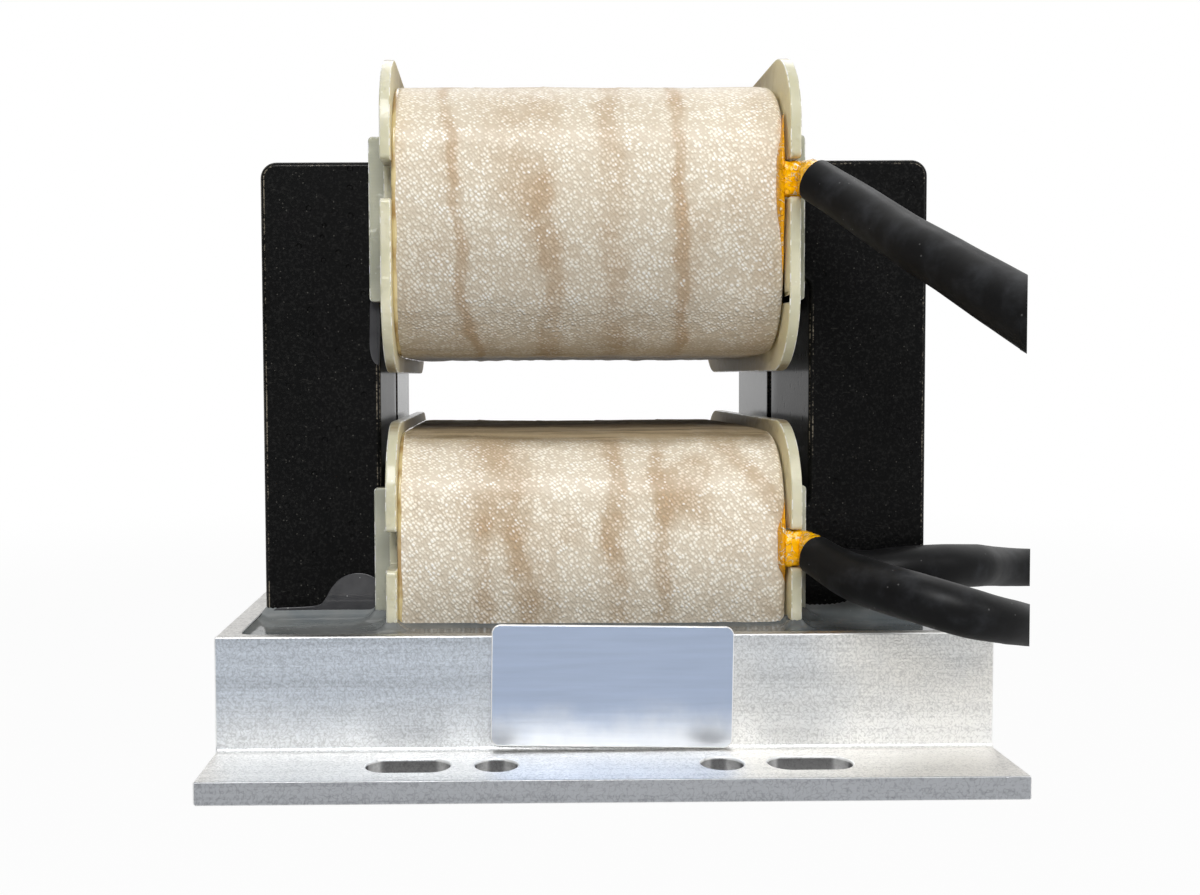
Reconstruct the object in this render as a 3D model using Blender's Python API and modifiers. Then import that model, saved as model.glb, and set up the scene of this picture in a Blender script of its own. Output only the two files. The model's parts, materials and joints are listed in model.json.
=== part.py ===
"""High frequency reactor: two coils on a U-core pair, potted in an aluminium mounting tray.

The frame stands on the tray's underside: +X runs along the tray, +Y goes from the side with the
rating plate to the rear, and +Z is up. All sizes are in metres.
"""

import math
from typing import NamedTuple

import bmesh
import bpy
from mathutils import Vector

# Clearance between pieces that touch in the real object
CLEARANCE = 0.0003

# Ferrite core: two U-core pairs, one behind the other
CORE_LEG = 0.028
WINDOW_WIDTH = 0.102
CORE_SET_DEPTH = 0.0429
CORE_SET_GAP = 0.004
CORE_OUTER_RADIUS = 0.0038
CORE_INNER_RADIUS = 0.002
CORE_EDGE = 0.0012
AIR_GAP = 0.002
DIVIDER_HEIGHT = 0.060
DIVIDER_INSET = 0.009

# Coil formers: glued from laminate plates
TUBE_WALL = 0.003
TUBE_LINER = 0.0025
TUBE_SIDE_HEIGHT = 0.0384
TUBE_OVERHANG = 0.0037
TUBE_CORNER = 0.001
FLANGE_THICKNESS = 0.0025
FLANGE_RIM = 0.0041
FLANGE_CORNER = 0.018
FLANGE_FOOT_CORNER = 0.003
FORMER_PLAY = 0.0072
NOTCH_HEIGHT = 0.0086
NOTCH_WEB = 0.0017
NOTCH_CHAMFER = 0.0012

# How far each former's flanges stand out above and below its coil, how high its notches sit over
# its limb's centre, and how far it lies to the left of the core's middle
UPPER_RIM_TOP = 0.00565
UPPER_RIM_BOTTOM = 0.00365
UPPER_NOTCH_RISE = 0.0077
UPPER_SHIFT = -0.0020
LOWER_RIM_TOP = 0.00245
LOWER_RIM_BOTTOM = 0.00455
LOWER_NOTCH_RISE = 0.0057
LOWER_SHIFT = -0.0014
FORMER_GAP = 0.0117

# Coils: flat litz cable, a film wrap and a glass-cloth wrap
CABLE_THICKNESS = 0.0044
CABLE_WIDTH = 0.0080
CABLE_CHAMFER = 0.0010
TURN_GAP = 0.0004
FILM_THICKNESS = 0.0006
CLOTH_THICKNESS = 0.0018
COIL_HEIGHT = 0.0643
CLOTH_END_GAP = 0.0010

# Leads: the sleeve is drawn over the end of the flat cable
SLEEVE_DIAMETER = 0.0103
LEAD_STEP = 0.012

# Mounting tray
TRAY_HEIGHT = 0.030
TRAY_FLOOR = 0.004
END_WALL = 0.005
SIDE_WALL = 0.003
END_MARGIN = 0.001
SIDE_MARGIN = 0.0095
CAVITY_CORNER = 0.003
FOOT_DEPTH = 0.0205
FOOT_THICKNESS = 0.0048
FOOT_FILLET = 0.001
HOLE_DIAMETER = 0.009
HOLE_SPACING = 0.0475
SLOT_LENGTH = 0.0178
SLOT_SPACING = 0.0846
POTTING_DROP = 0.0014

# Rating plate: blank sheet on the tray's front
PLATE_LENGTH = 0.0527
PLATE_HEIGHT = 0.0267
PLATE_THICKNESS = 0.0008
PLATE_CORNER = 0.002
PLATE_OFFSET = 0.0015
PLATE_TILT = math.radians(0.9)

# Segments in a rounded corner, a round hole and a bevel
CORNER_STEPS = 5
FLANGE_CORNER_STEPS = 8
TURN_CORNER_STEPS = 3
HOLE_SIDES = 32
BEVEL_SEGMENTS = 2
LEAD_RESOLUTION = 3
BEND_STEPS = 7


class Former(NamedTuple):
    """What sets one coil former apart from the other, measured from its limb's centre."""

    name: str
    reach_up: float
    reach_down: float
    notch_rise: float
    shift: float


HALF_COIL_HEIGHT = COIL_HEIGHT / 2
UPPER = Former(
    "upper",
    HALF_COIL_HEIGHT + UPPER_RIM_TOP,
    HALF_COIL_HEIGHT + UPPER_RIM_BOTTOM,
    UPPER_NOTCH_RISE,
    UPPER_SHIFT,
)
LOWER = Former(
    "lower",
    HALF_COIL_HEIGHT + LOWER_RIM_TOP,
    HALF_COIL_HEIGHT + LOWER_RIM_BOTTOM,
    LOWER_NOTCH_RISE,
    LOWER_SHIFT,
)


class Lead(NamedTuple):
    """A sleeved lead: the former it leaves, its layer in the notch, counted from the notch's back,
    and its route, measured from the middle of the notch's mouth on the flange's outer face."""

    name: str
    former: Former
    layer: float
    route: tuple


LEADS = (
    Lead(
        "upper",
        UPPER,
        0.6,
        (
            (0.0019, -0.0052, -0.0018),
            (0.0068, -0.0120, -0.0070),
            (0.0112, -0.0200, -0.0125),
            (0.0154, -0.0290, -0.0181),
            (0.0201, -0.0375, -0.0234),
            (0.0247, -0.0460, -0.0288),
            (0.0288, -0.0530, -0.0335),
            (0.0305, -0.0560, -0.0355),
        ),
    ),
    Lead(
        "lower_front",
        LOWER,
        1.0,
        (
            (0.0017, -0.0050, -0.0007),
            (0.0061, -0.0138, -0.0034),
            (0.0108, -0.0226, -0.0048),
            (0.0172, -0.0300, -0.0062),
            (0.0251, -0.0328, -0.0083),
            (0.0326, -0.0304, -0.0104),
            (0.0387, -0.0256, -0.0122),
            (0.0452, -0.0212, -0.0139),
        ),
    ),
    Lead(
        "lower_rear",
        LOWER,
        0.0,
        (
            (0.0110, 0.0088, -0.0061),
            (0.0175, 0.0086, -0.0067),
            (0.0246, 0.0074, -0.0058),
            (0.0344, 0.0086, -0.0054),
            (0.0437, 0.0140, -0.0061),
            (0.0495, 0.0215, -0.0073),
            (0.0552, 0.0285, -0.0086),
            (0.0618, 0.0335, -0.0096),
            (0.0683, 0.0360, -0.0101),
        ),
    ),
)

# Sizes that follow from the values above
HALF_LIMB = CORE_LEG / 2
HALF_WINDOW = WINDOW_WIDTH / 2
HALF_CORE_WIDTH = HALF_WINDOW + CORE_LEG
HALF_CORE_DEPTH = CORE_SET_DEPTH + CORE_SET_GAP / 2
LOWER_LIMB_Z = TRAY_FLOOR + CLEARANCE + LOWER.reach_down
UPPER_LIMB_Z = LOWER_LIMB_Z + LOWER.reach_up + FORMER_GAP + UPPER.reach_down
CORE_BOTTOM = LOWER_LIMB_Z - HALF_LIMB
CORE_MIDDLE = (LOWER_LIMB_Z + UPPER_LIMB_Z) / 2
TUBE_INNER_Y = HALF_CORE_DEPTH + CLEARANCE
TUBE_OUTER_Y = TUBE_INNER_Y + TUBE_WALL
HALF_TUBE_HEIGHT = TUBE_SIDE_HEIGHT / 2
CABLE_OUTER_Y = TUBE_OUTER_Y + CLEARANCE + CABLE_THICKNESS
FILM_INNER_Y = CABLE_OUTER_Y + CLEARANCE
CLOTH_INNER_Y = FILM_INNER_Y + FILM_THICKNESS + CLEARANCE
HALF_COIL_DEPTH = CLOTH_INNER_Y + CLOTH_THICKNESS
HALF_FLANGE_WIDTH = HALF_COIL_DEPTH + FLANGE_RIM
FLANGE_SPAN = WINDOW_WIDTH - FORMER_PLAY
NOTCH_BACK_Y = TUBE_OUTER_Y + CLEARANCE + NOTCH_WEB
WRAP_BUILD = CLOTH_THICKNESS + CLEARANCE + FILM_THICKNESS + CLEARANCE
CABLE_OUTER_Z = HALF_COIL_HEIGHT - WRAP_BUILD
CABLE_BEND = CABLE_OUTER_Z - CABLE_THICKNESS - HALF_TUBE_HEIGHT
COIL_CORNER = CABLE_BEND + CABLE_THICKNESS + WRAP_BUILD
CAVITY_X = HALF_CORE_WIDTH + END_MARGIN
CAVITY_Y = HALF_FLANGE_WIDTH + SIDE_MARGIN
TRAY_X = CAVITY_X + END_WALL
TRAY_Y = CAVITY_Y + SIDE_WALL
FOOT_Y = TRAY_Y + FOOT_DEPTH
POTTING_LEVEL = TRAY_HEIGHT - POTTING_DROP
LIMB_Z = {UPPER: UPPER_LIMB_Z, LOWER: LOWER_LIMB_Z}

# How a drawing in the local XY plane is turned: facing +X, facing -Y, or left lying
FACING_X = (math.pi / 2, 0.0, math.pi / 2)
FACING_Y = (math.pi / 2, 0.0, 0.0)
LYING = (0.0, 0.0, 0.0)


def clear_scene():
    """Removes every object of the scene."""
    for item in list(bpy.data.objects):
        bpy.data.objects.remove(item, do_unlink=True)


def new_collection(name):
    """Makes a collection in the scene."""
    collection = bpy.data.collections.new(name)
    bpy.context.scene.collection.children.link(collection)
    return collection


def principled(name, colour, roughness, metallic=0.0):
    """Makes a plain Principled material."""
    material = bpy.data.materials.new(name)
    material.use_nodes = True
    shader = material.node_tree.nodes["Principled BSDF"]
    shader.inputs["Base Color"].default_value = (*colour, 1.0)
    shader.inputs["Roughness"].default_value = roughness
    shader.inputs["Metallic"].default_value = metallic
    return material


class Workshop:
    """The collections and finishes that every sub-part is made with."""

    def __init__(self):
        self.parts = new_collection("high_frequency_reactor")
        self.cutters = new_collection("cutters")
        self.aluminium = principled("aluminium", (0.62, 0.64, 0.67), 0.35, 1.0)
        self.ferrite = principled("ferrite", (0.012, 0.012, 0.015), 0.30)
        self.laminate = principled("glass_laminate", (0.60, 0.56, 0.40), 0.25)
        self.copper = principled("litz_copper", (0.55, 0.25, 0.12), 0.45, 0.8)
        self.film = principled("amber_film", (0.45, 0.19, 0.03), 0.20)
        self.cloth = principled("glass_cloth", (0.70, 0.60, 0.46), 0.50)
        self.sleeve = principled("black_sleeve", (0.015, 0.015, 0.017), 0.55)
        self.potting = principled("grey_potting", (0.16, 0.18, 0.22), 0.12)
        self.plate = principled("rating_plate_metal", (0.50, 0.58, 0.68), 0.30, 0.9)

    def part(self, name, mesh, material):
        """Adds a mesh as a named sub-part."""
        item = bpy.data.objects.new(name, mesh)
        self.parts.objects.link(item)
        item.data.materials.clear()
        item.data.materials.append(material)
        return item

    def cutter(self, name, mesh):
        """Adds a mesh as a hidden cutter."""
        item = bpy.data.objects.new(name, mesh)
        self.cutters.objects.link(item)
        item.hide_render = True
        item.display_type = "WIRE"
        return item


def rounded(corners, steps=CORNER_STEPS):
    """Turns (x, y, radius) corners, listed counter-clockwise, into an outline with true arcs."""
    outline = []
    count = len(corners)
    for index, (x, y, radius) in enumerate(corners):
        corner = Vector((x, y))
        if radius <= 0.0:
            outline.append(corner)
            continue
        before = (Vector(corners[index - 1][:2]) - corner).normalized()
        after = (Vector(corners[(index + 1) % count][:2]) - corner).normalized()
        half_angle = before.angle(after) / 2
        centre = corner + (before + after).normalized() * (radius / math.sin(half_angle))
        start = corner + before * (radius / math.tan(half_angle)) - centre
        end = corner + after * (radius / math.tan(half_angle)) - centre
        turn = start.angle_signed(end)
        for step in range(steps + 1):
            angle = -turn * step / steps
            spoke = Vector((
                start.x * math.cos(angle) - start.y * math.sin(angle),
                start.x * math.sin(angle) + start.y * math.cos(angle),
            ))
            outline.append(centre + spoke)
    return outline


def rectangle(half_width, low, high, radius=0.0, centre_x=0.0, steps=CORNER_STEPS):
    """A rectangle from y = low to y = high, with rounded corners."""
    left = centre_x - half_width
    right = centre_x + half_width
    corners = ((left, low, radius), (right, low, radius), (right, high, radius), (left, high, radius))
    return rounded(corners, steps)


def slot(centre_x, centre_y, length, width):
    """A straight slot with round ends, or a round hole where the length is the width."""
    half_straight = (length - width) / 2
    outline = []
    for side, start in ((1, -math.pi / 2), (-1, math.pi / 2)):
        for step in range(HOLE_SIDES // 2 + 1):
            angle = start + math.pi * step / (HOLE_SIDES // 2)
            x = centre_x + side * half_straight + width / 2 * math.cos(angle)
            outline.append(Vector((x, centre_y + width / 2 * math.sin(angle))))
    if half_straight <= 0.0:
        outline = outline[: HOLE_SIDES // 2] + outline[HOLE_SIDES // 2 + 1 : -1]
    return outline


def extruded(name, outlines, thickness, centre, turned):
    """Extrudes a drawing to a plate; outlines after the first are openings in it."""
    curve = bpy.data.curves.new(name, "CURVE")
    curve.dimensions = "2D"
    curve.fill_mode = "BOTH"
    curve.extrude = thickness / 2
    for outline in outlines:
        spline = curve.splines.new("POLY")
        spline.points.add(len(outline) - 1)
        for point, (x, y) in zip(spline.points, outline):
            point.co = (x, y, 0.0, 1.0)
        spline.use_cyclic_u = True
    return mesh_of_curve(curve, centre, turned)


def mesh_of_curve(curve, centre=(0.0, 0.0, 0.0), turned=LYING):
    """Makes a welded mesh of a curve, in world coordinates, and removes the curve."""
    guide = bpy.data.objects.new(curve.name, curve)
    bpy.context.scene.collection.objects.link(guide)
    guide.location = centre
    guide.rotation_euler = turned
    bpy.context.view_layer.update()
    evaluated = guide.evaluated_get(bpy.context.evaluated_depsgraph_get())
    mesh = bpy.data.meshes.new_from_object(evaluated)
    mesh.transform(guide.matrix_world)
    bpy.data.objects.remove(guide)
    bpy.data.curves.remove(curve)
    body = bmesh.new()
    body.from_mesh(mesh)
    bmesh.ops.remove_doubles(body, verts=body.verts, dist=1e-7)
    bmesh.ops.dissolve_limit(body, angle_limit=1e-4, verts=body.verts, edges=body.edges)
    bmesh.ops.recalc_face_normals(body, faces=body.faces)
    body.to_mesh(mesh)
    body.free()
    return mesh


def box(low, high):
    """A box between two opposite corners."""
    mesh = bpy.data.meshes.new("box")
    body = bmesh.new()
    bmesh.ops.create_cube(body, size=1.0)
    size = Vector(high) - Vector(low)
    bmesh.ops.scale(body, vec=size, verts=body.verts)
    bmesh.ops.translate(body, vec=(Vector(low) + Vector(high)) / 2, verts=body.verts)
    body.to_mesh(mesh)
    body.free()
    return mesh


def bevel(item, width, segments=BEVEL_SEGMENTS):
    """Rounds the sharp edges of a part, and leaves the facets of its arcs alone."""
    modifier = item.modifiers.new("edges", "BEVEL")
    modifier.width = width
    modifier.segments = segments
    modifier.limit_method = "ANGLE"
    modifier.angle_limit = math.radians(40)


def cut(item, cutter):
    """Cuts a part with a hidden cutter."""
    modifier = item.modifiers.new("cut", "BOOLEAN")
    modifier.operation = "DIFFERENCE"
    modifier.solver = "EXACT"
    modifier.object = cutter


def smooth(item, degrees=35):
    """Shades the round faces of a part smooth and keeps its real edges."""
    item.data.shade_smooth()
    item.data.set_sharp_from_angle(angle=math.radians(degrees))


def build_tray(workshop):
    """The tray: a hat-shaped section cut to length, milled out and drilled."""
    section = rounded((
        (-FOOT_Y, 0.0, 0.0),
        (FOOT_Y, 0.0, 0.0),
        (FOOT_Y, FOOT_THICKNESS, 0.0),
        (TRAY_Y, FOOT_THICKNESS, FOOT_FILLET),
        (TRAY_Y, TRAY_HEIGHT, 0.0),
        (-TRAY_Y, TRAY_HEIGHT, 0.0),
        (-TRAY_Y, FOOT_THICKNESS, FOOT_FILLET),
        (-FOOT_Y, FOOT_THICKNESS, 0.0),
    ))
    mesh = extruded("mounting_tray", [section], 2 * TRAY_X, (0.0, 0.0, 0.0), FACING_X)
    tray = workshop.part("mounting_tray", mesh, workshop.aluminium)
    cavity = rectangle(CAVITY_X, -CAVITY_Y, CAVITY_Y, CAVITY_CORNER)
    cavity_height = TRAY_HEIGHT
    cavity_centre = (0.0, 0.0, TRAY_FLOOR + cavity_height / 2)
    cavity_mesh = extruded("tray_cavity", [cavity], cavity_height, cavity_centre, LYING)
    cut(tray, workshop.cutter("tray_cavity", cavity_mesh))
    foot_middle = TRAY_Y + FOOT_DEPTH / 2
    for side, side_name in ((-1, "front"), (1, "rear")):
        for hand, hand_name in ((-1, "left"), (1, "right")):
            y = side * foot_middle
            holes = (
                ("hole", hand * HOLE_SPACING / 2, HOLE_DIAMETER),
                ("slot", hand * SLOT_SPACING / 2, SLOT_LENGTH),
            )
            for kind, x, length in holes:
                name = f"{side_name}_{hand_name}_{kind}"
                outline = slot(x, y, length, HOLE_DIAMETER)
                depth = 3 * FOOT_THICKNESS
                hole_mesh = extruded(name, [outline], depth, (0.0, 0.0, FOOT_THICKNESS / 2), LYING)
                cut(tray, workshop.cutter(name, hole_mesh))
    smooth(tray)


def u_core_outline(hand):
    """A U-core seen from the front: its back outwards, its two limbs towards the middle."""
    face = AIR_GAP / 2
    top = UPPER_LIMB_Z + HALF_LIMB
    corners = [
        (HALF_CORE_WIDTH, CORE_BOTTOM, CORE_OUTER_RADIUS),
        (HALF_CORE_WIDTH, top, CORE_OUTER_RADIUS),
        (face, top, 0.0),
        (face, top - CORE_LEG, 0.0),
        (HALF_WINDOW, top - CORE_LEG, CORE_INNER_RADIUS),
        (HALF_WINDOW, CORE_BOTTOM + CORE_LEG, CORE_INNER_RADIUS),
        (face, CORE_BOTTOM + CORE_LEG, 0.0),
        (face, CORE_BOTTOM, 0.0),
    ]
    if hand < 0:
        corners = [(-x, z, radius) for x, z, radius in reversed(corners)]
    return rounded(corners)


def build_core(workshop):
    """Four U-cores, the spacers in their air gaps and the dividers between front and rear."""
    set_y = (CORE_SET_GAP + CORE_SET_DEPTH) / 2
    for side, side_name in ((-1, "front"), (1, "rear")):
        y = side * set_y
        for hand, hand_name in ((-1, "left"), (1, "right")):
            name = f"core_{side_name}_{hand_name}"
            mesh = extruded(name, [u_core_outline(hand)], CORE_SET_DEPTH, (0.0, y, 0.0), FACING_Y)
            core = workshop.part(name, mesh, workshop.ferrite)
            bevel(core, CORE_EDGE)
            smooth(core)
        for former in (UPPER, LOWER):
            half_gap = AIR_GAP / 2 - CLEARANCE
            half_depth = CORE_SET_DEPTH / 2 - CORE_EDGE
            half_height = HALF_LIMB - CORE_EDGE
            z = LIMB_Z[former]
            low = (-half_gap, y - half_depth, z - half_height)
            high = (half_gap, y + half_depth, z + half_height)
            workshop.part(f"gap_spacer_{former.name}_{side_name}", box(low, high), workshop.laminate)
    half_thickness = CORE_SET_GAP / 2 - CLEARANCE
    for hand, hand_name in ((-1, "left"), (1, "right")):
        inner = HALF_WINDOW + DIVIDER_INSET
        outer = HALF_CORE_WIDTH - DIVIDER_INSET
        left, right = sorted((hand * inner, hand * outer))
        low = (left, -half_thickness, CORE_MIDDLE - DIVIDER_HEIGHT / 2)
        high = (right, half_thickness, CORE_MIDDLE + DIVIDER_HEIGHT / 2)
        workshop.part(f"core_divider_{hand_name}", box(low, high), workshop.laminate)


def flange_outline(former, grow=0.0, notched=True):
    """A former's end flange seen from its end, or its envelope when it is grown."""
    z = LIMB_Z[former]
    low = z - former.reach_down - grow
    high = z + former.reach_up + grow
    half = HALF_FLANGE_WIDTH + grow
    radius = FLANGE_CORNER + grow
    foot = radius if former is UPPER else FLANGE_FOOT_CORNER
    if not notched:
        return rounded(((-half, low, foot), (half, low, foot), (half, high, radius),
                        (-half, high, radius)), FLANGE_CORNER_STEPS)
    notch_low = z + former.notch_rise - NOTCH_HEIGHT / 2
    notch_high = notch_low + NOTCH_HEIGHT
    return rounded((
        (-half, low, foot),
        (half, low, foot),
        (half, high, radius),
        (-half, high, radius),
        (-half, notch_high, NOTCH_CHAMFER),
        (-NOTCH_BACK_Y, notch_high, 0.0),
        (-NOTCH_BACK_Y, notch_low, 0.0),
        (-half, notch_low, NOTCH_CHAMFER),
    ), FLANGE_CORNER_STEPS)


def flange_centres(former):
    """The middle planes of a former's left and right flanges."""
    reach = (FLANGE_SPAN - FLANGE_THICKNESS) / 2
    return former.shift - reach, former.shift + reach


def build_former(workshop, former):
    """One coil former: two end flanges on a tube of four plates."""
    z = LIMB_Z[former]
    left, right = flange_centres(former)
    opening_y = TUBE_OUTER_Y + CLEARANCE
    opening_z = HALF_TUBE_HEIGHT + CLEARANCE
    opening = rectangle(opening_y, z - opening_z, z + opening_z)
    for x, hand_name in ((left, "left"), (right, "right")):
        name = f"{former.name}_flange_{hand_name}"
        outlines = [flange_outline(former), opening]
        mesh = extruded(name, outlines, FLANGE_THICKNESS, (x, 0.0, 0.0), FACING_X)
        smooth(workshop.part(name, mesh, workshop.laminate))
    side_length = FLANGE_SPAN + 2 * TUBE_OVERHANG
    side = rectangle(side_length / 2, z - HALF_TUBE_HEIGHT, z + HALF_TUBE_HEIGHT, TUBE_CORNER,
                     former.shift, steps=2)
    for hand, name in ((-1, "front"), (1, "rear")):
        y = hand * (TUBE_INNER_Y + TUBE_WALL / 2)
        name = f"{former.name}_tube_{name}"
        mesh = extruded(name, [side], TUBE_WALL, (0.0, y, 0.0), FACING_Y)
        workshop.part(name, mesh, workshop.laminate)
    liner_y = TUBE_INNER_Y - CLEARANCE
    liner_low = HALF_LIMB + CLEARANCE
    liner_high = min(liner_low + TUBE_LINER, HALF_TUBE_HEIGHT)
    for hand, name in ((-1, "bottom"), (1, "top")):
        heights = sorted((z + hand * liner_low, z + hand * liner_high))
        low = (former.shift - FLANGE_SPAN / 2, -liner_y, heights[0])
        high = (former.shift + FLANGE_SPAN / 2, liner_y, heights[1])
        workshop.part(f"{former.name}_tube_{name}", box(low, high), workshop.laminate)


def winding_room(former):
    """Where the room between a former's flanges starts and ends along X."""
    left, right = flange_centres(former)
    return left + FLANGE_THICKNESS / 2 + CLEARANCE, right - FLANGE_THICKNESS / 2 - CLEARANCE


def lofted(name, stations, thickness, width):
    """A flat cable with chamfered corners through stations of (centre, across, along) vectors."""
    half_t = thickness / 2
    half_w = width / 2
    cut_t = half_t - CABLE_CHAMFER
    cut_w = half_w - CABLE_CHAMFER
    profile = ((half_t, -cut_w), (half_t, cut_w), (cut_t, half_w), (-cut_t, half_w),
               (-half_t, cut_w), (-half_t, -cut_w), (-cut_t, -half_w), (cut_t, -half_w))
    body = bmesh.new()
    rings = []
    for centre, across, along in stations:
        ring = [body.verts.new(centre + across * a + along * b) for a, b in profile]
        rings.append(ring)
    count = len(profile)
    for ring, following in zip(rings, rings[1:]):
        for index in range(count):
            other = (index + 1) % count
            body.faces.new((ring[index], ring[other], following[other], following[index]))
    body.faces.new(rings[0])
    body.faces.new(rings[-1])
    bmesh.ops.recalc_face_normals(body, faces=body.faces)
    mesh = bpy.data.meshes.new(name)
    body.to_mesh(mesh)
    body.free()
    return mesh


def build_winding(workshop, former):
    """The winding: flat litz cable wound on its former in one layer of whole turns."""
    z = LIMB_Z[former]
    left, right = winding_room(former)
    pitch = CABLE_WIDTH + TURN_GAP
    turns = int((right - left - CABLE_WIDTH) / pitch)
    middle_y = CABLE_OUTER_Y - CABLE_THICKNESS / 2
    middle_z = CABLE_OUTER_Z - CABLE_THICKNESS / 2
    bend = CABLE_BEND + CABLE_THICKNESS / 2
    # One turn, seen from the right end, from the notch on the front and back to it
    corners = ((-middle_y, -middle_z, bend), (middle_y, -middle_z, bend),
               (middle_y, middle_z, bend), (-middle_y, middle_z, bend))
    turn = rounded(corners, TURN_CORNER_STEPS)
    count = len(turn)
    start_x = former.shift - turns * pitch / 2
    stations = []
    for step in range(turns * count + 1):
        here = turn[step % count]
        before = turn[(step - 1) % count]
        after = turn[(step + 1) % count]
        run = (after - before).normalized()
        centre = Vector((start_x + pitch * step / count, here.x, z + here.y))
        stations.append((centre, Vector((0.0, run.y, -run.x)), Vector((1.0, 0.0, 0.0))))
    mesh = lofted(f"{former.name}_winding", stations, CABLE_THICKNESS, CABLE_WIDTH)
    smooth(workshop.part(f"{former.name}_winding", mesh, workshop.copper), 50)


def build_wraps(workshop, former):
    """The film wrap fills the room between the flanges; the glass cloth stops short at the right."""
    z = LIMB_Z[former]
    start, end = winding_room(former)
    layers = (
        ("film_wrap", FILM_INNER_Y, FILM_THICKNESS, end, workshop.film),
        ("cloth_wrap", CLOTH_INNER_Y, CLOTH_THICKNESS, end - CLOTH_END_GAP, workshop.cloth),
    )
    for kind, inner_y, thickness, stop, material in layers:
        outlines = []
        for half_y in (inner_y + thickness, inner_y):
            inset = HALF_COIL_DEPTH - half_y
            half_z = HALF_COIL_HEIGHT - inset
            outlines.append(rectangle(half_y, z - half_z, z + half_z, COIL_CORNER - inset))
        name = f"{former.name}_{kind}"
        centre = ((start + stop) / 2, 0.0, 0.0)
        mesh = extruded(name, outlines, stop - start, centre, FACING_X)
        smooth(workshop.part(name, mesh, material))


def smooth_route(points, step):
    """Points about a step apart on one smooth curve through a route's own points."""
    ends = [2 * points[0] - points[1]] + points + [2 * points[-1] - points[-2]]
    line = [points[0]]
    for before, start, end, after in zip(ends, ends[1:], ends[2:], ends[3:]):
        count = max(1, round((end - start).length / step))
        for index in range(1, count + 1):
            t = index / count
            line.append(0.5 * (
                2 * start
                + (end - before) * t
                + (2 * before - 5 * start + 4 * end - after) * t ** 2
                + (3 * start - before - 3 * end + after) * t ** 3
            ))
    return line


def bend_between(start, heading, end, arriving):
    """Points and directions on a smooth bend from one place and direction to another."""
    reach = (end - start).length
    from_start = heading * reach
    to_end = arriving * reach
    bend = []
    for step in range(BEND_STEPS + 1):
        t = step / BEND_STEPS
        place = (
            (2 * t ** 3 - 3 * t ** 2 + 1) * start
            + (t ** 3 - 2 * t ** 2 + t) * from_start
            + (3 * t ** 2 - 2 * t ** 3) * end
            + (t ** 3 - t ** 2) * to_end
        )
        run = (
            (6 * t ** 2 - 6 * t) * start
            + (3 * t ** 2 - 4 * t + 1) * from_start
            + (6 * t - 6 * t ** 2) * end
            + (3 * t ** 2 - 2 * t) * to_end
        )
        bend.append((place, run.normalized()))
    return bend


def build_lead(workshop, lead):
    """The flat cable from the coil's end through the notch, and the sleeved lead after it."""
    z = LIMB_Z[lead.former] + lead.former.notch_rise
    outer_face = flange_centres(lead.former)[1] + FLANGE_THICKNESS / 2
    mouth = Vector((outer_face, -HALF_FLANGE_WIDTH, z))
    route = [mouth + Vector(point) for point in lead.route]
    arriving = (route[1] - route[0]).normalized()
    middle_in_notch = CLEARANCE + CABLE_THICKNESS / 2 + lead.layer * (CABLE_THICKNESS + CLEARANCE)
    y = -NOTCH_BACK_Y - middle_in_notch
    coil_end = winding_room(lead.former)[1]
    start = Vector((coil_end + CLEARANCE, y, z))
    outside = Vector((outer_face, y, z))
    end = route[0] - arriving * CLEARANCE
    heading = Vector((1.0, 0.0, 0.0))
    up = Vector((0.0, 0.0, 1.0))
    stations = []
    for place, run in [(start, heading)] + bend_between(outside, heading, end, arriving):
        across = up.cross(run).normalized()
        stations.append((place, across, run.cross(across)))
    name = f"{lead.name}_cable_end"
    mesh = lofted(name, stations, CABLE_THICKNESS, CABLE_WIDTH)
    smooth(workshop.part(name, mesh, workshop.film), 50)
    curve = bpy.data.curves.new(f"{lead.name}_lead", "CURVE")
    curve.dimensions = "3D"
    curve.bevel_depth = SLEEVE_DIAMETER / 2
    curve.bevel_resolution = LEAD_RESOLUTION
    curve.use_fill_caps = True
    line = smooth_route(route, LEAD_STEP)
    spline = curve.splines.new("POLY")
    spline.points.add(len(line) - 1)
    for point, place in zip(spline.points, line):
        point.co = (*place, 1.0)
    sleeve = workshop.part(f"{lead.name}_lead", mesh_of_curve(curve), workshop.sleeve)
    smooth(sleeve)


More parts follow.
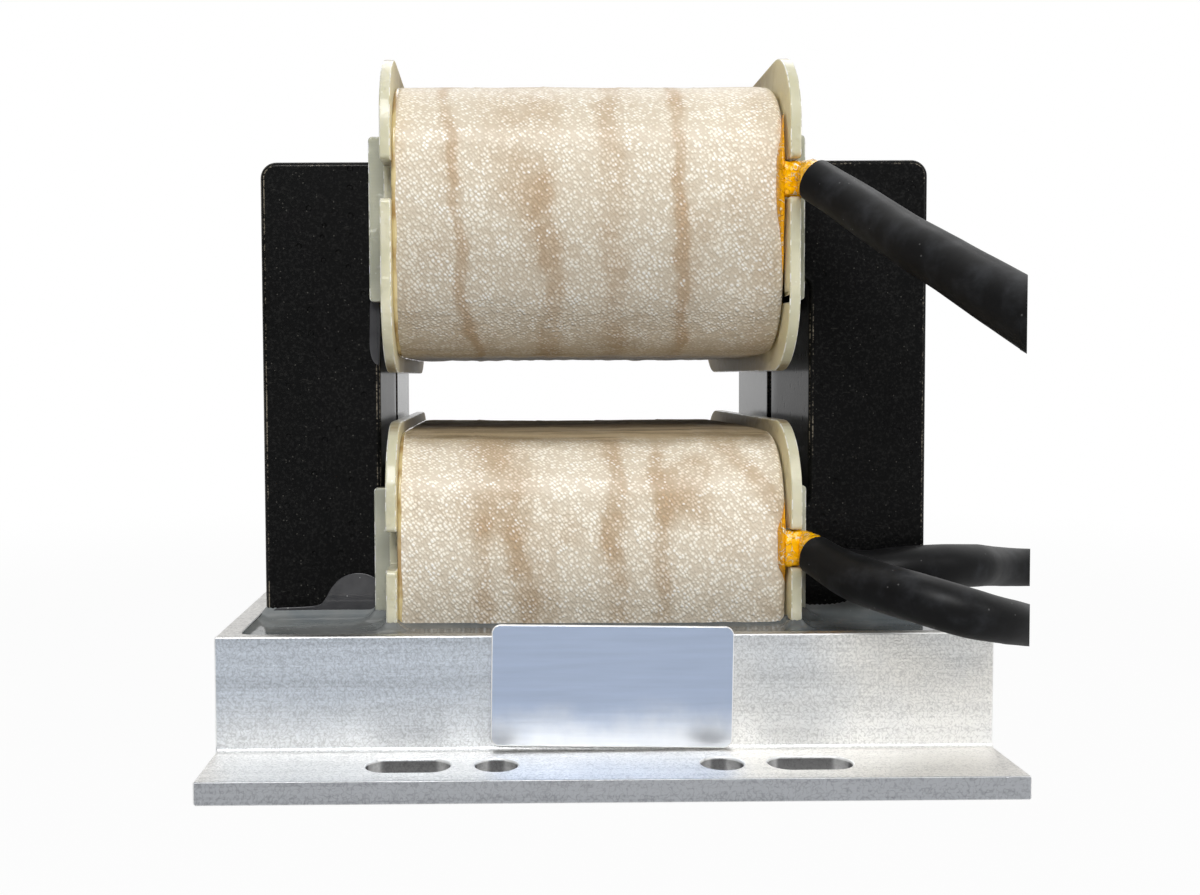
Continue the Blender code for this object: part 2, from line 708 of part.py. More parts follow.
def build_potting(workshop):
    """The potting compound: it fills the tray around everything that stands in it."""
    bottom = TRAY_FLOOR + CLEARANCE
    depth = POTTING_LEVEL - bottom
    outline = rectangle(CAVITY_X - CLEARANCE, -CAVITY_Y + CLEARANCE, CAVITY_Y - CLEARANCE,
                        CAVITY_CORNER - CLEARANCE)
    mesh = extruded("potting_compound", [outline], depth, (0.0, 0.0, bottom + depth / 2), LYING)
    potting = workshop.part("potting_compound", mesh, workshop.potting)
    above = POTTING_LEVEL + CORE_LEG
    core_x = HALF_CORE_WIDTH + CLEARANCE
    core_y = HALF_CORE_DEPTH + CLEARANCE
    pocket = box((-core_x, -core_y, CORE_BOTTOM - CLEARANCE), (core_x, core_y, above))
    cut(potting, workshop.cutter("core_pocket", pocket))
    for x, hand_name in zip(flange_centres(LOWER), ("left", "right")):
        name = f"{hand_name}_flange_pocket"
        grown = [flange_outline(LOWER, 2 * CLEARANCE, notched=False)]
        width = FLANGE_THICKNESS + 2 * CLEARANCE
        cut(potting, workshop.cutter(name, extruded(name, grown, width, (x, 0.0, 0.0), FACING_X)))
    left, right = flange_centres(LOWER)
    half_y = HALF_COIL_DEPTH + CLEARANCE
    half_z = HALF_COIL_HEIGHT + CLEARANCE
    coil = [rectangle(half_y, LOWER_LIMB_Z - half_z, LOWER_LIMB_Z + half_z, COIL_CORNER + CLEARANCE)]
    coil_mesh = extruded("coil_pocket", coil, right - left, (LOWER.shift, 0.0, 0.0), FACING_X)
    cut(potting, workshop.cutter("coil_pocket", coil_mesh))
    plate_x = FLANGE_SPAN / 2 + TUBE_OVERHANG + CLEARANCE
    plate_low = LOWER_LIMB_Z - HALF_TUBE_HEIGHT - CLEARANCE
    for side, side_name in ((-1, "front"), (1, "rear")):
        near = TUBE_INNER_Y - 2 * CLEARANCE
        far = TUBE_OUTER_Y + CLEARANCE
        low_y, high_y = sorted((side * near, side * far))
        low = (LOWER.shift - plate_x, low_y, plate_low)
        high = (LOWER.shift + plate_x, high_y, above)
        cut(potting, workshop.cutter(f"{side_name}_plate_pocket", box(low, high)))


def build_rating_plate(workshop):
    """The blank rating plate, glued to the tray's front a little out of true."""
    drop = PLATE_LENGTH / 2 * math.sin(PLATE_TILT)
    z = FOOT_THICKNESS + CLEARANCE + PLATE_HEIGHT / 2 + drop
    y = -TRAY_Y - CLEARANCE - PLATE_THICKNESS / 2
    outline = rectangle(PLATE_LENGTH / 2, -PLATE_HEIGHT / 2, PLATE_HEIGHT / 2, PLATE_CORNER)
    turned = (math.pi / 2, PLATE_TILT, 0.0)
    mesh = extruded("rating_plate", [outline], PLATE_THICKNESS, (PLATE_OFFSET, y, z), turned)
    smooth(workshop.part("rating_plate", mesh, workshop.plate))


def main():
    """Builds the reactor from the tray up."""
    clear_scene()
    workshop = Workshop()
    build_tray(workshop)
    build_core(workshop)
    for former in (UPPER, LOWER):
        build_former(workshop, former)
        build_winding(workshop, former)
        build_wraps(workshop, former)
    for lead in LEADS:
        build_lead(workshop, lead)
    build_potting(workshop)
    build_rating_plate(workshop)


main()
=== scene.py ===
"""High frequency reactor: every visible surface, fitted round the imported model.

Sizes are in metres in the model's own frame: +X runs along the tray, +Y goes from the side with the
rating plate to the rear, and +Z is up. The floor is at zero.
"""

import json
import logging
import math
from contextlib import contextmanager
from dataclasses import dataclass, field
from enum import Enum
from typing import Callable, Iterable, Iterator, Optional, Sequence, Union

import bmesh
import bpy
from mathutils import Matrix, Vector, geometry, noise

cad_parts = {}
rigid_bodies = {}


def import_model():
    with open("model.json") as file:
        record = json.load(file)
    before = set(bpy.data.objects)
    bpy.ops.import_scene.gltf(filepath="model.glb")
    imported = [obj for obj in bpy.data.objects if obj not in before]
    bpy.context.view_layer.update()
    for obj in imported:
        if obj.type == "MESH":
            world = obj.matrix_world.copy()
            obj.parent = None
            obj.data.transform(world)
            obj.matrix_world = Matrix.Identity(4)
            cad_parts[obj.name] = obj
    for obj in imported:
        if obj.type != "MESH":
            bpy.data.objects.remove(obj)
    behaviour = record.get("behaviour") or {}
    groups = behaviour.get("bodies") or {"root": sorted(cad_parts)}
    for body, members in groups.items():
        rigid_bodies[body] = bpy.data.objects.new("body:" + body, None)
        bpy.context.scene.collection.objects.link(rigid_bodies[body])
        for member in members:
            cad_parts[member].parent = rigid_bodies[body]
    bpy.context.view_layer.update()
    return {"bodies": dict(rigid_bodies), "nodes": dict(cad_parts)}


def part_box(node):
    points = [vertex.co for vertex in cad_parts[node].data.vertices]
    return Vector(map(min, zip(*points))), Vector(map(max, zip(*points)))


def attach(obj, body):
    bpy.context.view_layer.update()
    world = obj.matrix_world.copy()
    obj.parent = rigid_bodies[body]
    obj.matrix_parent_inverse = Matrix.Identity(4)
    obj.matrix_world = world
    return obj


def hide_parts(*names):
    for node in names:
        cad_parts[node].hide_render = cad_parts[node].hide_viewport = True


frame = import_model()
LOG = logging.getLogger("reactor")

Colour = tuple[float, float, float]
Number = Union[float, "Value"]
Corner = tuple[float, float, float]

# Faces of a rounded corner, a flange's corner, a hole, a sleeve and a crumpled film
CORNER_STEPS = 10
FLANGE_CORNER_STEPS = 16
HOLE_SIDES = 64
SLEEVE_SIDES = 48
FILM_SIDES = 56

# Points that are this close are one point, and faces this close to one plane are one face
SAME_POINT = 1e-5
SAME_PLANE = math.radians(0.3)

# The angle past which an edge is rounded, and the one past which a mesh's edge stays sharp
ROUNDED_EDGE = math.radians(38)
SHARP_EDGE = 40.0

# The photograph's viewpoint. The leads' far ends are cut square to the picture from here
EYE = Vector((-0.02174, -0.34102, 0.08614))

ALONG_X = Vector((1.0, 0.0, 0.0))
ALONG_Y = Vector((0.0, 1.0, 0.0))
UP = Vector((0.0, 0.0, 1.0))

# How a drawing in the local XY plane is turned: facing +X, facing -Y, or left lying
FACING_X = (math.pi / 2, 0.0, math.pi / 2)
FACING_Y = (math.pi / 2, 0.0, 0.0)
LYING = (0.0, 0.0, 0.0)


class Slot(Enum):
    """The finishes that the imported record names."""

    ALUMINIUM = "aluminium"
    FERRITE = "ferrite"
    LAMINATE = "laminate"
    LITZ = "litz"
    FILM = "amber_film"
    CLOTH = "glass_cloth"
    SLEEVE = "sleeve"
    POTTING = "potting"
    PLATE = "rating_plate"


class Level(Enum):
    """The two coils, one above the other."""

    UPPER = "upper"
    LOWER = "lower"


class Hand(Enum):
    """The two ends of the reactor along X."""

    LEFT = "left"
    RIGHT = "right"

    @property
    def sign(self) -> int:
        """-1 at the left end and 1 at the right end."""
        return -1 if self is Hand.LEFT else 1


class Side(Enum):
    """The side with the rating plate and the side away from it."""

    FRONT = "front"
    REAR = "rear"

    @property
    def sign(self) -> int:
        """-1 in front and 1 at the rear."""
        return -1 if self is Side.FRONT else 1


def math_operator(operation: str, reflected: bool = False) -> Callable[["Value", Number], "Value"]:
    """Makes the method behind one of Python's operators.

    Args:
        operation: The Math node's operation.
        reflected: Whether the value is the operator's second term.

    Returns:
        The method, which adds the Math node.
    """
    def method(self: "Value", other: Number) -> "Value":
        """Adds the Math node."""
        terms = (other, self) if reflected else (self, other)
        return self.math(operation, *terms)

    return method


class Value:
    """A shader socket that Python's operators turn into Math nodes."""

    def __init__(self, shader: "Shader", socket: bpy.types.NodeSocket) -> None:
        """Wraps a socket of one of the shader's nodes."""
        self.shader = shader
        self.socket = socket

    def math(self, operation: str, *terms: Number, clamp: bool = False) -> "Value":
        """Adds one Math node.

        Args:
            operation: The Math node's operation.
            terms: Its inputs in order.
            clamp: Whether the result stays between 0 and 1.

        Returns:
            The node's result.
        """
        settings = {"operation": operation, "use_clamp": clamp}
        node = self.shader.node("ShaderNodeMath", settings, dict(enumerate(terms)))
        return Value(self.shader, node.outputs[0])

    __add__ = math_operator("ADD")
    __radd__ = math_operator("ADD", True)
    __sub__ = math_operator("SUBTRACT")
    __rsub__ = math_operator("SUBTRACT", True)
    __mul__ = math_operator("MULTIPLY")
    __rmul__ = math_operator("MULTIPLY", True)
    __truediv__ = math_operator("DIVIDE")
    __rtruediv__ = math_operator("DIVIDE", True)
    __pow__ = math_operator("POWER")

    def sine(self) -> "Value":
        """The value's sine."""
        return self.math("SINE", self)

    def size(self) -> "Value":
        """The value without its sign."""
        return self.math("ABSOLUTE", self)

    def clamped(self) -> "Value":
        """The value held between 0 and 1."""
        return self.math("ADD", self, 0.0, clamp=True)

    def at_least(self, other: Number) -> "Value":
        """The larger of the two values."""
        return self.math("MAXIMUM", self, other)

    def at_most(self, other: Number) -> "Value":
        """The smaller of the two values."""
        return self.math("MINIMUM", self, other)

    def between(self, low: float, high: float) -> "Value":
        """A smooth step.

        Args:
            low: Where the step is 0.
            high: Where the step is 1.

        Returns:
            The step, from 0 to 1.
        """
        settings = {"interpolation_type": "SMOOTHSTEP"}
        inputs = {"Value": self, "From Min": low, "From Max": high}
        node = self.shader.node("ShaderNodeMapRange", settings, inputs)
        return Value(self.shader, node.outputs[0])


class Shader:
    """Builds the nodes of one material or of the world."""

    def __init__(self, owner: Union[bpy.types.Material, bpy.types.World]) -> None:
        """Starts on a material's or a world's own node tree."""
        owner.use_nodes = True
        self.tree = owner.node_tree

    def node(self, kind: str, settings: Optional[dict] = None,
             inputs: Optional[dict] = None) -> bpy.types.Node:
        """Adds a node.

        Args:
            kind: The node's type.
            settings: Its properties.
            inputs: Values or links for its sockets, by name or number.

        Returns:
            The node.
        """
        node = self.tree.nodes.new(kind)
        for key, value in (settings or {}).items():
            setattr(node, key, value)
        for key, value in (inputs or {}).items():
            self.feed(node.inputs[key], value)
        return node

    def feed(self, socket: bpy.types.NodeSocket, value: object) -> None:
        """Gives a socket its value.

        Args:
            socket: The socket.
            value: A shader value or another socket, which is linked, or a constant.
        """
        if isinstance(value, Value):
            self.tree.links.new(value.socket, socket)
        elif isinstance(value, bpy.types.NodeSocket):
            self.tree.links.new(value, socket)
        elif isinstance(value, tuple) and len(value) == 3 and socket.type == "RGBA":
            socket.default_value = (*value, 1.0)
        else:
            socket.default_value = value

    def place(self) -> Value:
        """Where the shaded point is, in metres in the model's frame."""
        return Value(self, self.node("ShaderNodeTexCoord").outputs["Object"])

    def facing(self) -> Value:
        """The direction that the surface faces."""
        return Value(self, self.node("ShaderNodeNewGeometry").outputs["Normal"])

    def split(self, vector: Value) -> tuple[Value, Value, Value]:
        """The three parts of a vector."""
        node = self.node("ShaderNodeSeparateXYZ", None, {0: vector})
        return tuple(Value(self, node.outputs[part]) for part in range(3))

    def stretched(self, vector: Value, scale: Colour) -> Value:
        """A vector with each part multiplied by its own number."""
        node = self.node("ShaderNodeVectorMath", {"operation": "MULTIPLY"}, {0: vector, 1: scale})
        return Value(self, node.outputs[0])

    def pushed(self, vector: Value, push: Value, amount: float) -> Value:
        """A vector moved by the colour of a texture, so that what follows it wavers."""
        inputs = {0: push, 1: (amount, amount, amount), 2: vector}
        node = self.node("ShaderNodeVectorMath", {"operation": "MULTIPLY_ADD"}, inputs)
        return Value(self, node.outputs[0])

    def noise(self, vector: Value, scale: float, detail: float = 2.0, roughness: float = 0.5) -> Value:
        """Soft noise from about 0.3 to 0.7, with features of 1 / scale metres."""
        inputs = {"Vector": vector, "Scale": scale, "Detail": detail, "Roughness": roughness}
        return Value(self, self.node("ShaderNodeTexNoise", None, inputs).outputs[0])

    def noise_colour(self, vector: Value, scale: float) -> Value:
        """Soft noise in three parts."""
        inputs = {"Vector": vector, "Scale": scale, "Detail": 2.0}
        return Value(self, self.node("ShaderNodeTexNoise", None, inputs).outputs[1])

    def joined(self, x: Number, y: Number, z: Number = 0.0) -> Value:
        """A vector made of three values."""
        return Value(self, self.node("ShaderNodeCombineXYZ", None, {0: x, 1: y, 2: z}).outputs[0])

    def cells(self, vector: Value, scale: float, scatter: float = 1.0) -> tuple[Value, Value]:
        """Points that lie in rows, or scattered.

        Args:
            vector: Where the shaded point is.
            scale: How many points there are in a metre.
            scatter: 0 for straight rows, 1 for points without any order.

        Returns:
            The distance to the nearest point, and a number from 0 to 1 that is the point's own.
        """
        inputs = {"Vector": vector, "Scale": scale, "Randomness": scatter}
        node = self.node("ShaderNodeTexVoronoi", None, inputs)
        own = self.node("ShaderNodeSeparateColor", None, {0: Value(self, node.outputs["Color"])})
        return Value(self, node.outputs["Distance"]), Value(self, own.outputs[0])

    def specks(self, vector: Value, scale: float, share: float, size: float) -> Value:
        """Scattered round specks: 1 inside a speck and 0 outside.

        Args:
            vector: Where the point is.
            scale: How many places for a speck there are in a metre.
            share: The share of the places that hold one.
            size: A speck's radius as a share of the distance between places.

        Returns:
            The mask.
        """
        distance, own = self.cells(vector, scale)
        return (1 - distance.between(size * 0.6, size)) * own.between(1 - share, 1 - share + 0.02)

    def mix(self, factor: Number, first: object, second: object, blend: str = "MIX") -> Value:
        """Mixes two colours.

        Args:
            factor: 0 for the first colour, 1 for the second.
            first: The first colour.
            second: The second colour.
            blend: How they are put together.

        Returns:
            The mixed colour.
        """
        settings = {"data_type": "RGBA", "blend_type": blend}
        node = self.node("ShaderNodeMix", settings, {0: factor, 6: first, 7: second})
        return Value(self, node.outputs[2])

    def shaded(self, colour: object, value: Value) -> Value:
        """A colour multiplied by a value."""
        grey = self.node("ShaderNodeCombineColor", None, {0: value, 1: value, 2: value})
        return self.mix(1.0, colour, Value(self, grey.outputs[0]), "MULTIPLY")

    def bump(self, height: Value, depth: float, under: Optional[Value] = None) -> Value:
        """Relief in the surface.

        Args:
            height: The relief, about 0 to 1.
            depth: What a height of 1 is in metres.
            under: A coarser relief that this one lies on.

        Returns:
            The normal.
        """
        inputs = {"Height": height, "Distance": depth, "Strength": 1.0}
        if under is not None:
            inputs["Normal"] = under
        return Value(self, self.node("ShaderNodeBump", None, inputs).outputs[0])


class Finish:
    """A procedural finish. Each kind fills in the Principled shader of its material."""

    name: str

    def material(self) -> bpy.types.Material:
        """Makes the finish's material.

        Returns:
            The material.
        """
        made = bpy.data.materials.new(self.name)
        shader = Shader(made)
        surface = shader.tree.nodes["Principled BSDF"]
        for socket, value in self.sockets(shader).items():
            shader.feed(surface.inputs[socket], value)
        return made

    def sockets(self, shader: Shader) -> dict[str, object]:
        """What the finish gives to the Principled shader.

        Args:
            shader: The material's nodes.

        Returns:
            A value or a constant for each socket, by the socket's name.
        """
        raise NotImplementedError


@dataclass(frozen=True)
class ExtrudedAluminium(Finish):
    """Dull aluminium: the die's lines along X, a mottled grain, and painted shade on the feet's outer
    faces.
    """

    name: str = "extruded_aluminium"
    # The cool, warm and plain tints are a painted reflection.
    cool: Colour = (0.66, 0.715, 0.79)
    warm: Colour = (1.00, 0.985, 0.94)
    # Painted shade on the feet's outer faces.
    foot_shade: Colour = (0.43, 0.445, 0.47)
    # Painted shade inside the holes and slots and under the feet.
    hole_shade: Colour = (0.22, 0.22, 0.22)
    # Painted highlight on the chamfered edges.
    edge: Colour = (0.97, 0.97, 0.96)
    # Painted reflection of the foot on the walls.
    painted_foot_reflection: Colour = (0.96, 0.97, 0.97)
    plain: Colour = (0.745, 0.727, 0.695)
    outer_face_y: float = 0.0925
    wall: float = 0.0725
    foot: float = 0.0048
    # The heights over which the painted reflection of the foot fades out.
    rubbed_and_sheen: tuple[float, float] = (0.0045, 0.0200)
    line_scale: Colour = (30.0, 2400.0, 2400.0)
    band_scale: Colour = (6.0, 260.0, 260.0)
    grain_scale: float = 1350.0
    worm_scale: float = 1300.0
    patch_scale: float = 38.0
    depth: float = 0.00006

    def sockets(self, shader: Shader) -> dict[str, object]:
        """Drawn lines, grain, a painted reflection near the foot, and painted highlights on the edges."""
        place = shader.place()
        x, y, z = shader.split(place)
        facing_x, facing_y, facing_z = shader.split(shader.facing())
        lines = shader.noise(shader.stretched(place, self.line_scale), 1.0, 3.0, 0.6)
        bands = shader.noise(shader.stretched(place, self.band_scale), 1.0, 3.0, 0.6)
        grain = shader.noise(place, self.grain_scale, 2.0, 0.6)
        bent = shader.pushed(place, shader.noise_colour(place, 800.0), 0.0007)
        worms = (shader.noise(bent, self.worm_scale, 0.0) - 0.5).size().between(0.0, 0.14)
        patches = shader.noise(place, self.patch_scale, 3.0)
        # Painted reflection: cool on the left, warm on the right, and a plain tint on the faces that look
        # up or down.
        warmth = ((x + 0.03) * 9.0 + (patches - 0.5) * 1.6).clamped()
        tint = shader.mix(warmth, self.cool, self.warm)
        tint = shader.mix(facing_z.size() * 0.92, tint, self.plain)
        # Painted reflection of the foot, which makes the walls lighter near it.
        painted_reflection_band = 1 - (z + (patches - 0.5) * 0.006 + (bands - 0.5) * 0.006).between(*self.rubbed_and_sheen)
        tint = shader.mix(painted_reflection_band * facing_y.size() * 0.62, tint, self.painted_foot_reflection)
        # Painted shade on the feet's outer faces.
        tint = shader.mix(y.size().between(self.outer_face_y, self.outer_face_y + 0.0004), tint, self.foot_shade)
        # Painted shade inside the holes and slots and under the feet.
        in_foot = 1 - z.between(self.foot - 0.0007, self.foot - 0.0004)
        in_foot = in_foot * y.size().between(self.wall + 0.0020, self.wall + 0.0022)
        in_foot = in_foot * (1 - y.size().between(self.outer_face_y - 0.0020, self.outer_face_y - 0.0015))
        tint = shader.mix(in_foot, tint, self.hole_shade)
        # The painted reflection also brightens the right end and the walls near the foot.
        tone = 0.79 + warmth * 0.06 + (lines - 0.5) * 0.30 + (bands - 0.5) * 0.40
        tone = tone + (grain - 0.5) * 0.44 + (worms - 0.7) * 0.17
        tone = (tone * (1.0 + painted_reflection_band * 0.14)).at_most(1.0)
        colour = shader.shaded(tint, tone)
        # Painted highlights on the chamfered edges, weaker in the holes and on the fillet.
        square = facing_x.size().at_least(facing_y.size()).at_least(facing_z.size())
        in_fillet = z.between(self.foot + 0.00002, self.foot + 0.0001)
        in_fillet = in_fillet * (1 - z.between(self.foot + 0.0010, self.foot + 0.0012))
        painted_edge_highlight = (1 - square).between(0.02, 0.12) * (1 - in_foot * 0.6) * (1 - in_fillet * 0.8)
        painted_edge_highlight = (painted_edge_highlight * (0.55 + grain)).clamped() * 0.9
        colour = shader.mix(painted_edge_highlight, colour, self.edge)
        relief = shader.bump(lines * 0.7 + grain * 0.7 - worms * 0.35 + bands * 0.4, self.depth)
        return {
            "Base Color": colour,
            "Metallic": 1 - painted_edge_highlight * 0.6,
            "Roughness": 0.30 + grain * 0.16 + bands * 0.16,
            "Normal": relief,
        }


@dataclass(frozen=True)
class BlackFerrite(Finish):
    """Ferrite under a thin coat of varnish: near black, pitted, with painted edge highlights, and ground
    inside.
    """

    name: str = "black_ferrite"
    body: Colour = (0.0006, 0.0007, 0.0008)
    grain: Colour = (0.0095, 0.0095, 0.0092)
    dust: Colour = (0.13, 0.125, 0.11)
    # Painted highlight on the rounded edges.
    painted_edge_lines: Colour = (0.24, 0.21, 0.16)
    ground: Colour = (0.032, 0.034, 0.035)
    inner_face: float = 0.056
    joint: float = 0.0
    grain_scale: float = 1500.0
    patch_scale: float = 60.0
    dust_scale: float = 1250.0
    pit_scale: float = 330.0
    hole_scale: float = 620.0
    depth: float = 0.00006

    def sockets(self, shader: Shader) -> dict[str, object]:
        """Grain, pale specks, small pits, painted highlights on the rounded edges, and ground faces in the
        window.
        """
        place = shader.place()
        x, y, _ = shader.split(place)
        facing_x, facing_y, _ = shader.split(shader.facing())
        grain = shader.noise(place, self.grain_scale, 3.0, 0.7)
        patches = shader.noise(place, self.patch_scale, 3.0)
        dust = shader.specks(place, self.dust_scale, 0.10, 0.24)
        hairs = shader.noise(shader.stretched(place, (500.0, 500.0, 2600.0)), 1.0, 2.0)
        hairs = hairs.between(0.66, 0.74) * patches.between(0.45, 0.6)
        pits = shader.specks(place, self.pit_scale, 0.30, 0.26)
        front = facing_y.size()
        rounding = (1 - front.between(0.985, 0.998)) * front.between(0.02, 0.06)
        # Painted highlight lines along both borders of the rounded edges, patchy with the grain.
        line = front.between(0.92, 0.96) * rounding
        line = line + front.between(0.40, 0.55) * (1 - front.between(0.62, 0.75)) * 0.8
        line = (line * (grain + hairs * 0.2 + patches).between(0.94, 1.16)).clamped()
        inside = 1 - x.size().between(self.inner_face, self.inner_face + 0.001)
        inside = inside * facing_x.size().between(0.9, 0.99)
        colour = shader.mix(grain.between(0.46, 0.70), self.body, self.grain)
        colour = shader.mix((dust + hairs * 0.3).clamped() * 0.4, colour, self.dust)
        colour = shader.mix(line * 0.75, colour, self.painted_edge_lines)
        inside = inside * (0.28 + (y + (patches - 0.5) * 0.01).between(-0.012, 0.004) * 0.52)
        inside = inside * (y - self.joint).size().between(0.0008, 0.0013)
        holes = shader.specks(place, self.hole_scale, 0.22, 0.24)
        holes = holes * (patches + grain * 0.2).between(0.5, 0.7)
        colour = shader.mix(inside * (1 - holes * 0.9), colour, shader.shaded(self.ground, 0.5 + grain))
        relief = shader.bump(grain * 0.9 - pits * 4.0, self.depth)
        return {
            "Base Color": colour,
            "Roughness": 0.40 + grain * 0.20 + patches * 0.10 - inside * 0.15,
            "Specular IOR Level": 0.08,
            "Coat Weight": (patches * 0.10 + rounding * 0.08 + inside * (1 - holes * 0.8)).clamped(),
            "Coat Roughness": 0.17,
            "Normal": relief,
        }


@dataclass(frozen=True)
class GlassLaminate(Finish):
    """Pale glass laminate, clear enough for light to come through, with resin on its faces."""

    name: str = "glass_laminate"
    pale: Colour = (0.68, 0.65, 0.50)
    deep: Colour = (0.55, 0.53, 0.38)
    # Painted light shining through the laminate's inner faces.
    painted_through_light: Colour = (0.86, 0.76, 0.47)
    # A resin stain on the end faces, and painted shade on the inner faces' front part.
    dark: Colour = (0.24, 0.17, 0.085)
    # Painted glint on the rims.
    wet: Colour = (0.97, 0.96, 0.90)
    fleck: Colour = (0.80, 0.80, 0.74)
    soaked_and_shaded: float = 0.80
    cloud_scale: float = 75.0
    weave_scale: float = 4200.0
    fleck_scale: float = 700.0
    drop_scale: float = 260.0
    drop_depth: float = 0.00018

    def sockets(self, shader: Shader) -> dict[str, object]:
        """A faint weave, cloudy resin, painted rim glints, painted light and shade, and drops that catch
        the light.
        """
        place = shader.place()
        clouds = shader.noise(place, self.cloud_scale, 3.0)
        x, y, z = shader.split(place)
        weave = ((y * self.weave_scale).sine() * (z * self.weave_scale).sine()).size()
        flecks = shader.specks(place, self.fleck_scale, 0.22, 0.2)
        colour = shader.mix(clouds.between(0.35, 0.68), self.deep, self.pale)
        colour = shader.mix(weave * 0.12, colour, self.deep)
        colour = shader.mix(flecks * 0.4, colour, self.fleck)
        side, _, up = shader.split(shader.facing())
        # Painted glints in dashes along the rounded rims.
        painted_rim_highlight = (1 - side.size()).between(0.04, 0.14) * side.size().between(0.35, 0.55)
        dashes = shader.noise(shader.stretched(place, (150.0, 150.0, 420.0)), 1.0, 2.0)
        painted_rim_highlight = painted_rim_highlight * dashes.between(0.47, 0.54)
        # Painted light shining through the inner faces.
        inward = (0 - x * side).between(0.030, 0.040)
        colour = shader.mix(inward * 0.8, colour, self.painted_through_light)
        # Painted shade on the inner faces' front part.
        under = inward * (y + (clouds - 0.5) * 0.03).between(-0.050, -0.022)
        colour = shader.mix(under * 0.75, colour, self.dark)
        level = up.size().between(0.80, 0.97) * (clouds + weave * 0.1).between(0.30, 0.62)
        colour = shader.mix(level * self.soaked_and_shaded, colour, self.dark)
        colour = shader.mix(painted_rim_highlight * 0.85, colour, self.wet)
        drops = shader.noise(place, self.drop_scale, 2.0).between(0.5, 0.72)
        relief = shader.bump(drops, self.drop_depth, shader.bump(shader.noise(place, 900.0), 0.00002))
        return {
            "Base Color": colour,
            "Roughness": 0.24 + clouds * 0.16 + inward * 0.25,
            "Subsurface Weight": 0.55,
            "Subsurface Radius": (1.0, 0.95, 0.7),
            "Subsurface Scale": 0.0035,
            "Specular IOR Level": 0.30,
            "Coat Weight": 0.45 - inward * 0.40,
            "Coat Roughness": 0.06,
            "Normal": relief,
        }


@dataclass(frozen=True)
class Stain:
    """A brown ring round a coil where the tape's turns overlap and resin has gathered.

    It lies at x, leans by that much for each metre of height, and fades out at its bottom and its
    top, where it has them.
    """

    x: float
    width: float
    strength: float
    lean: float = 0.0
    bottom: Optional[float] = None
    top: Optional[float] = None
    fade: float = 0.003


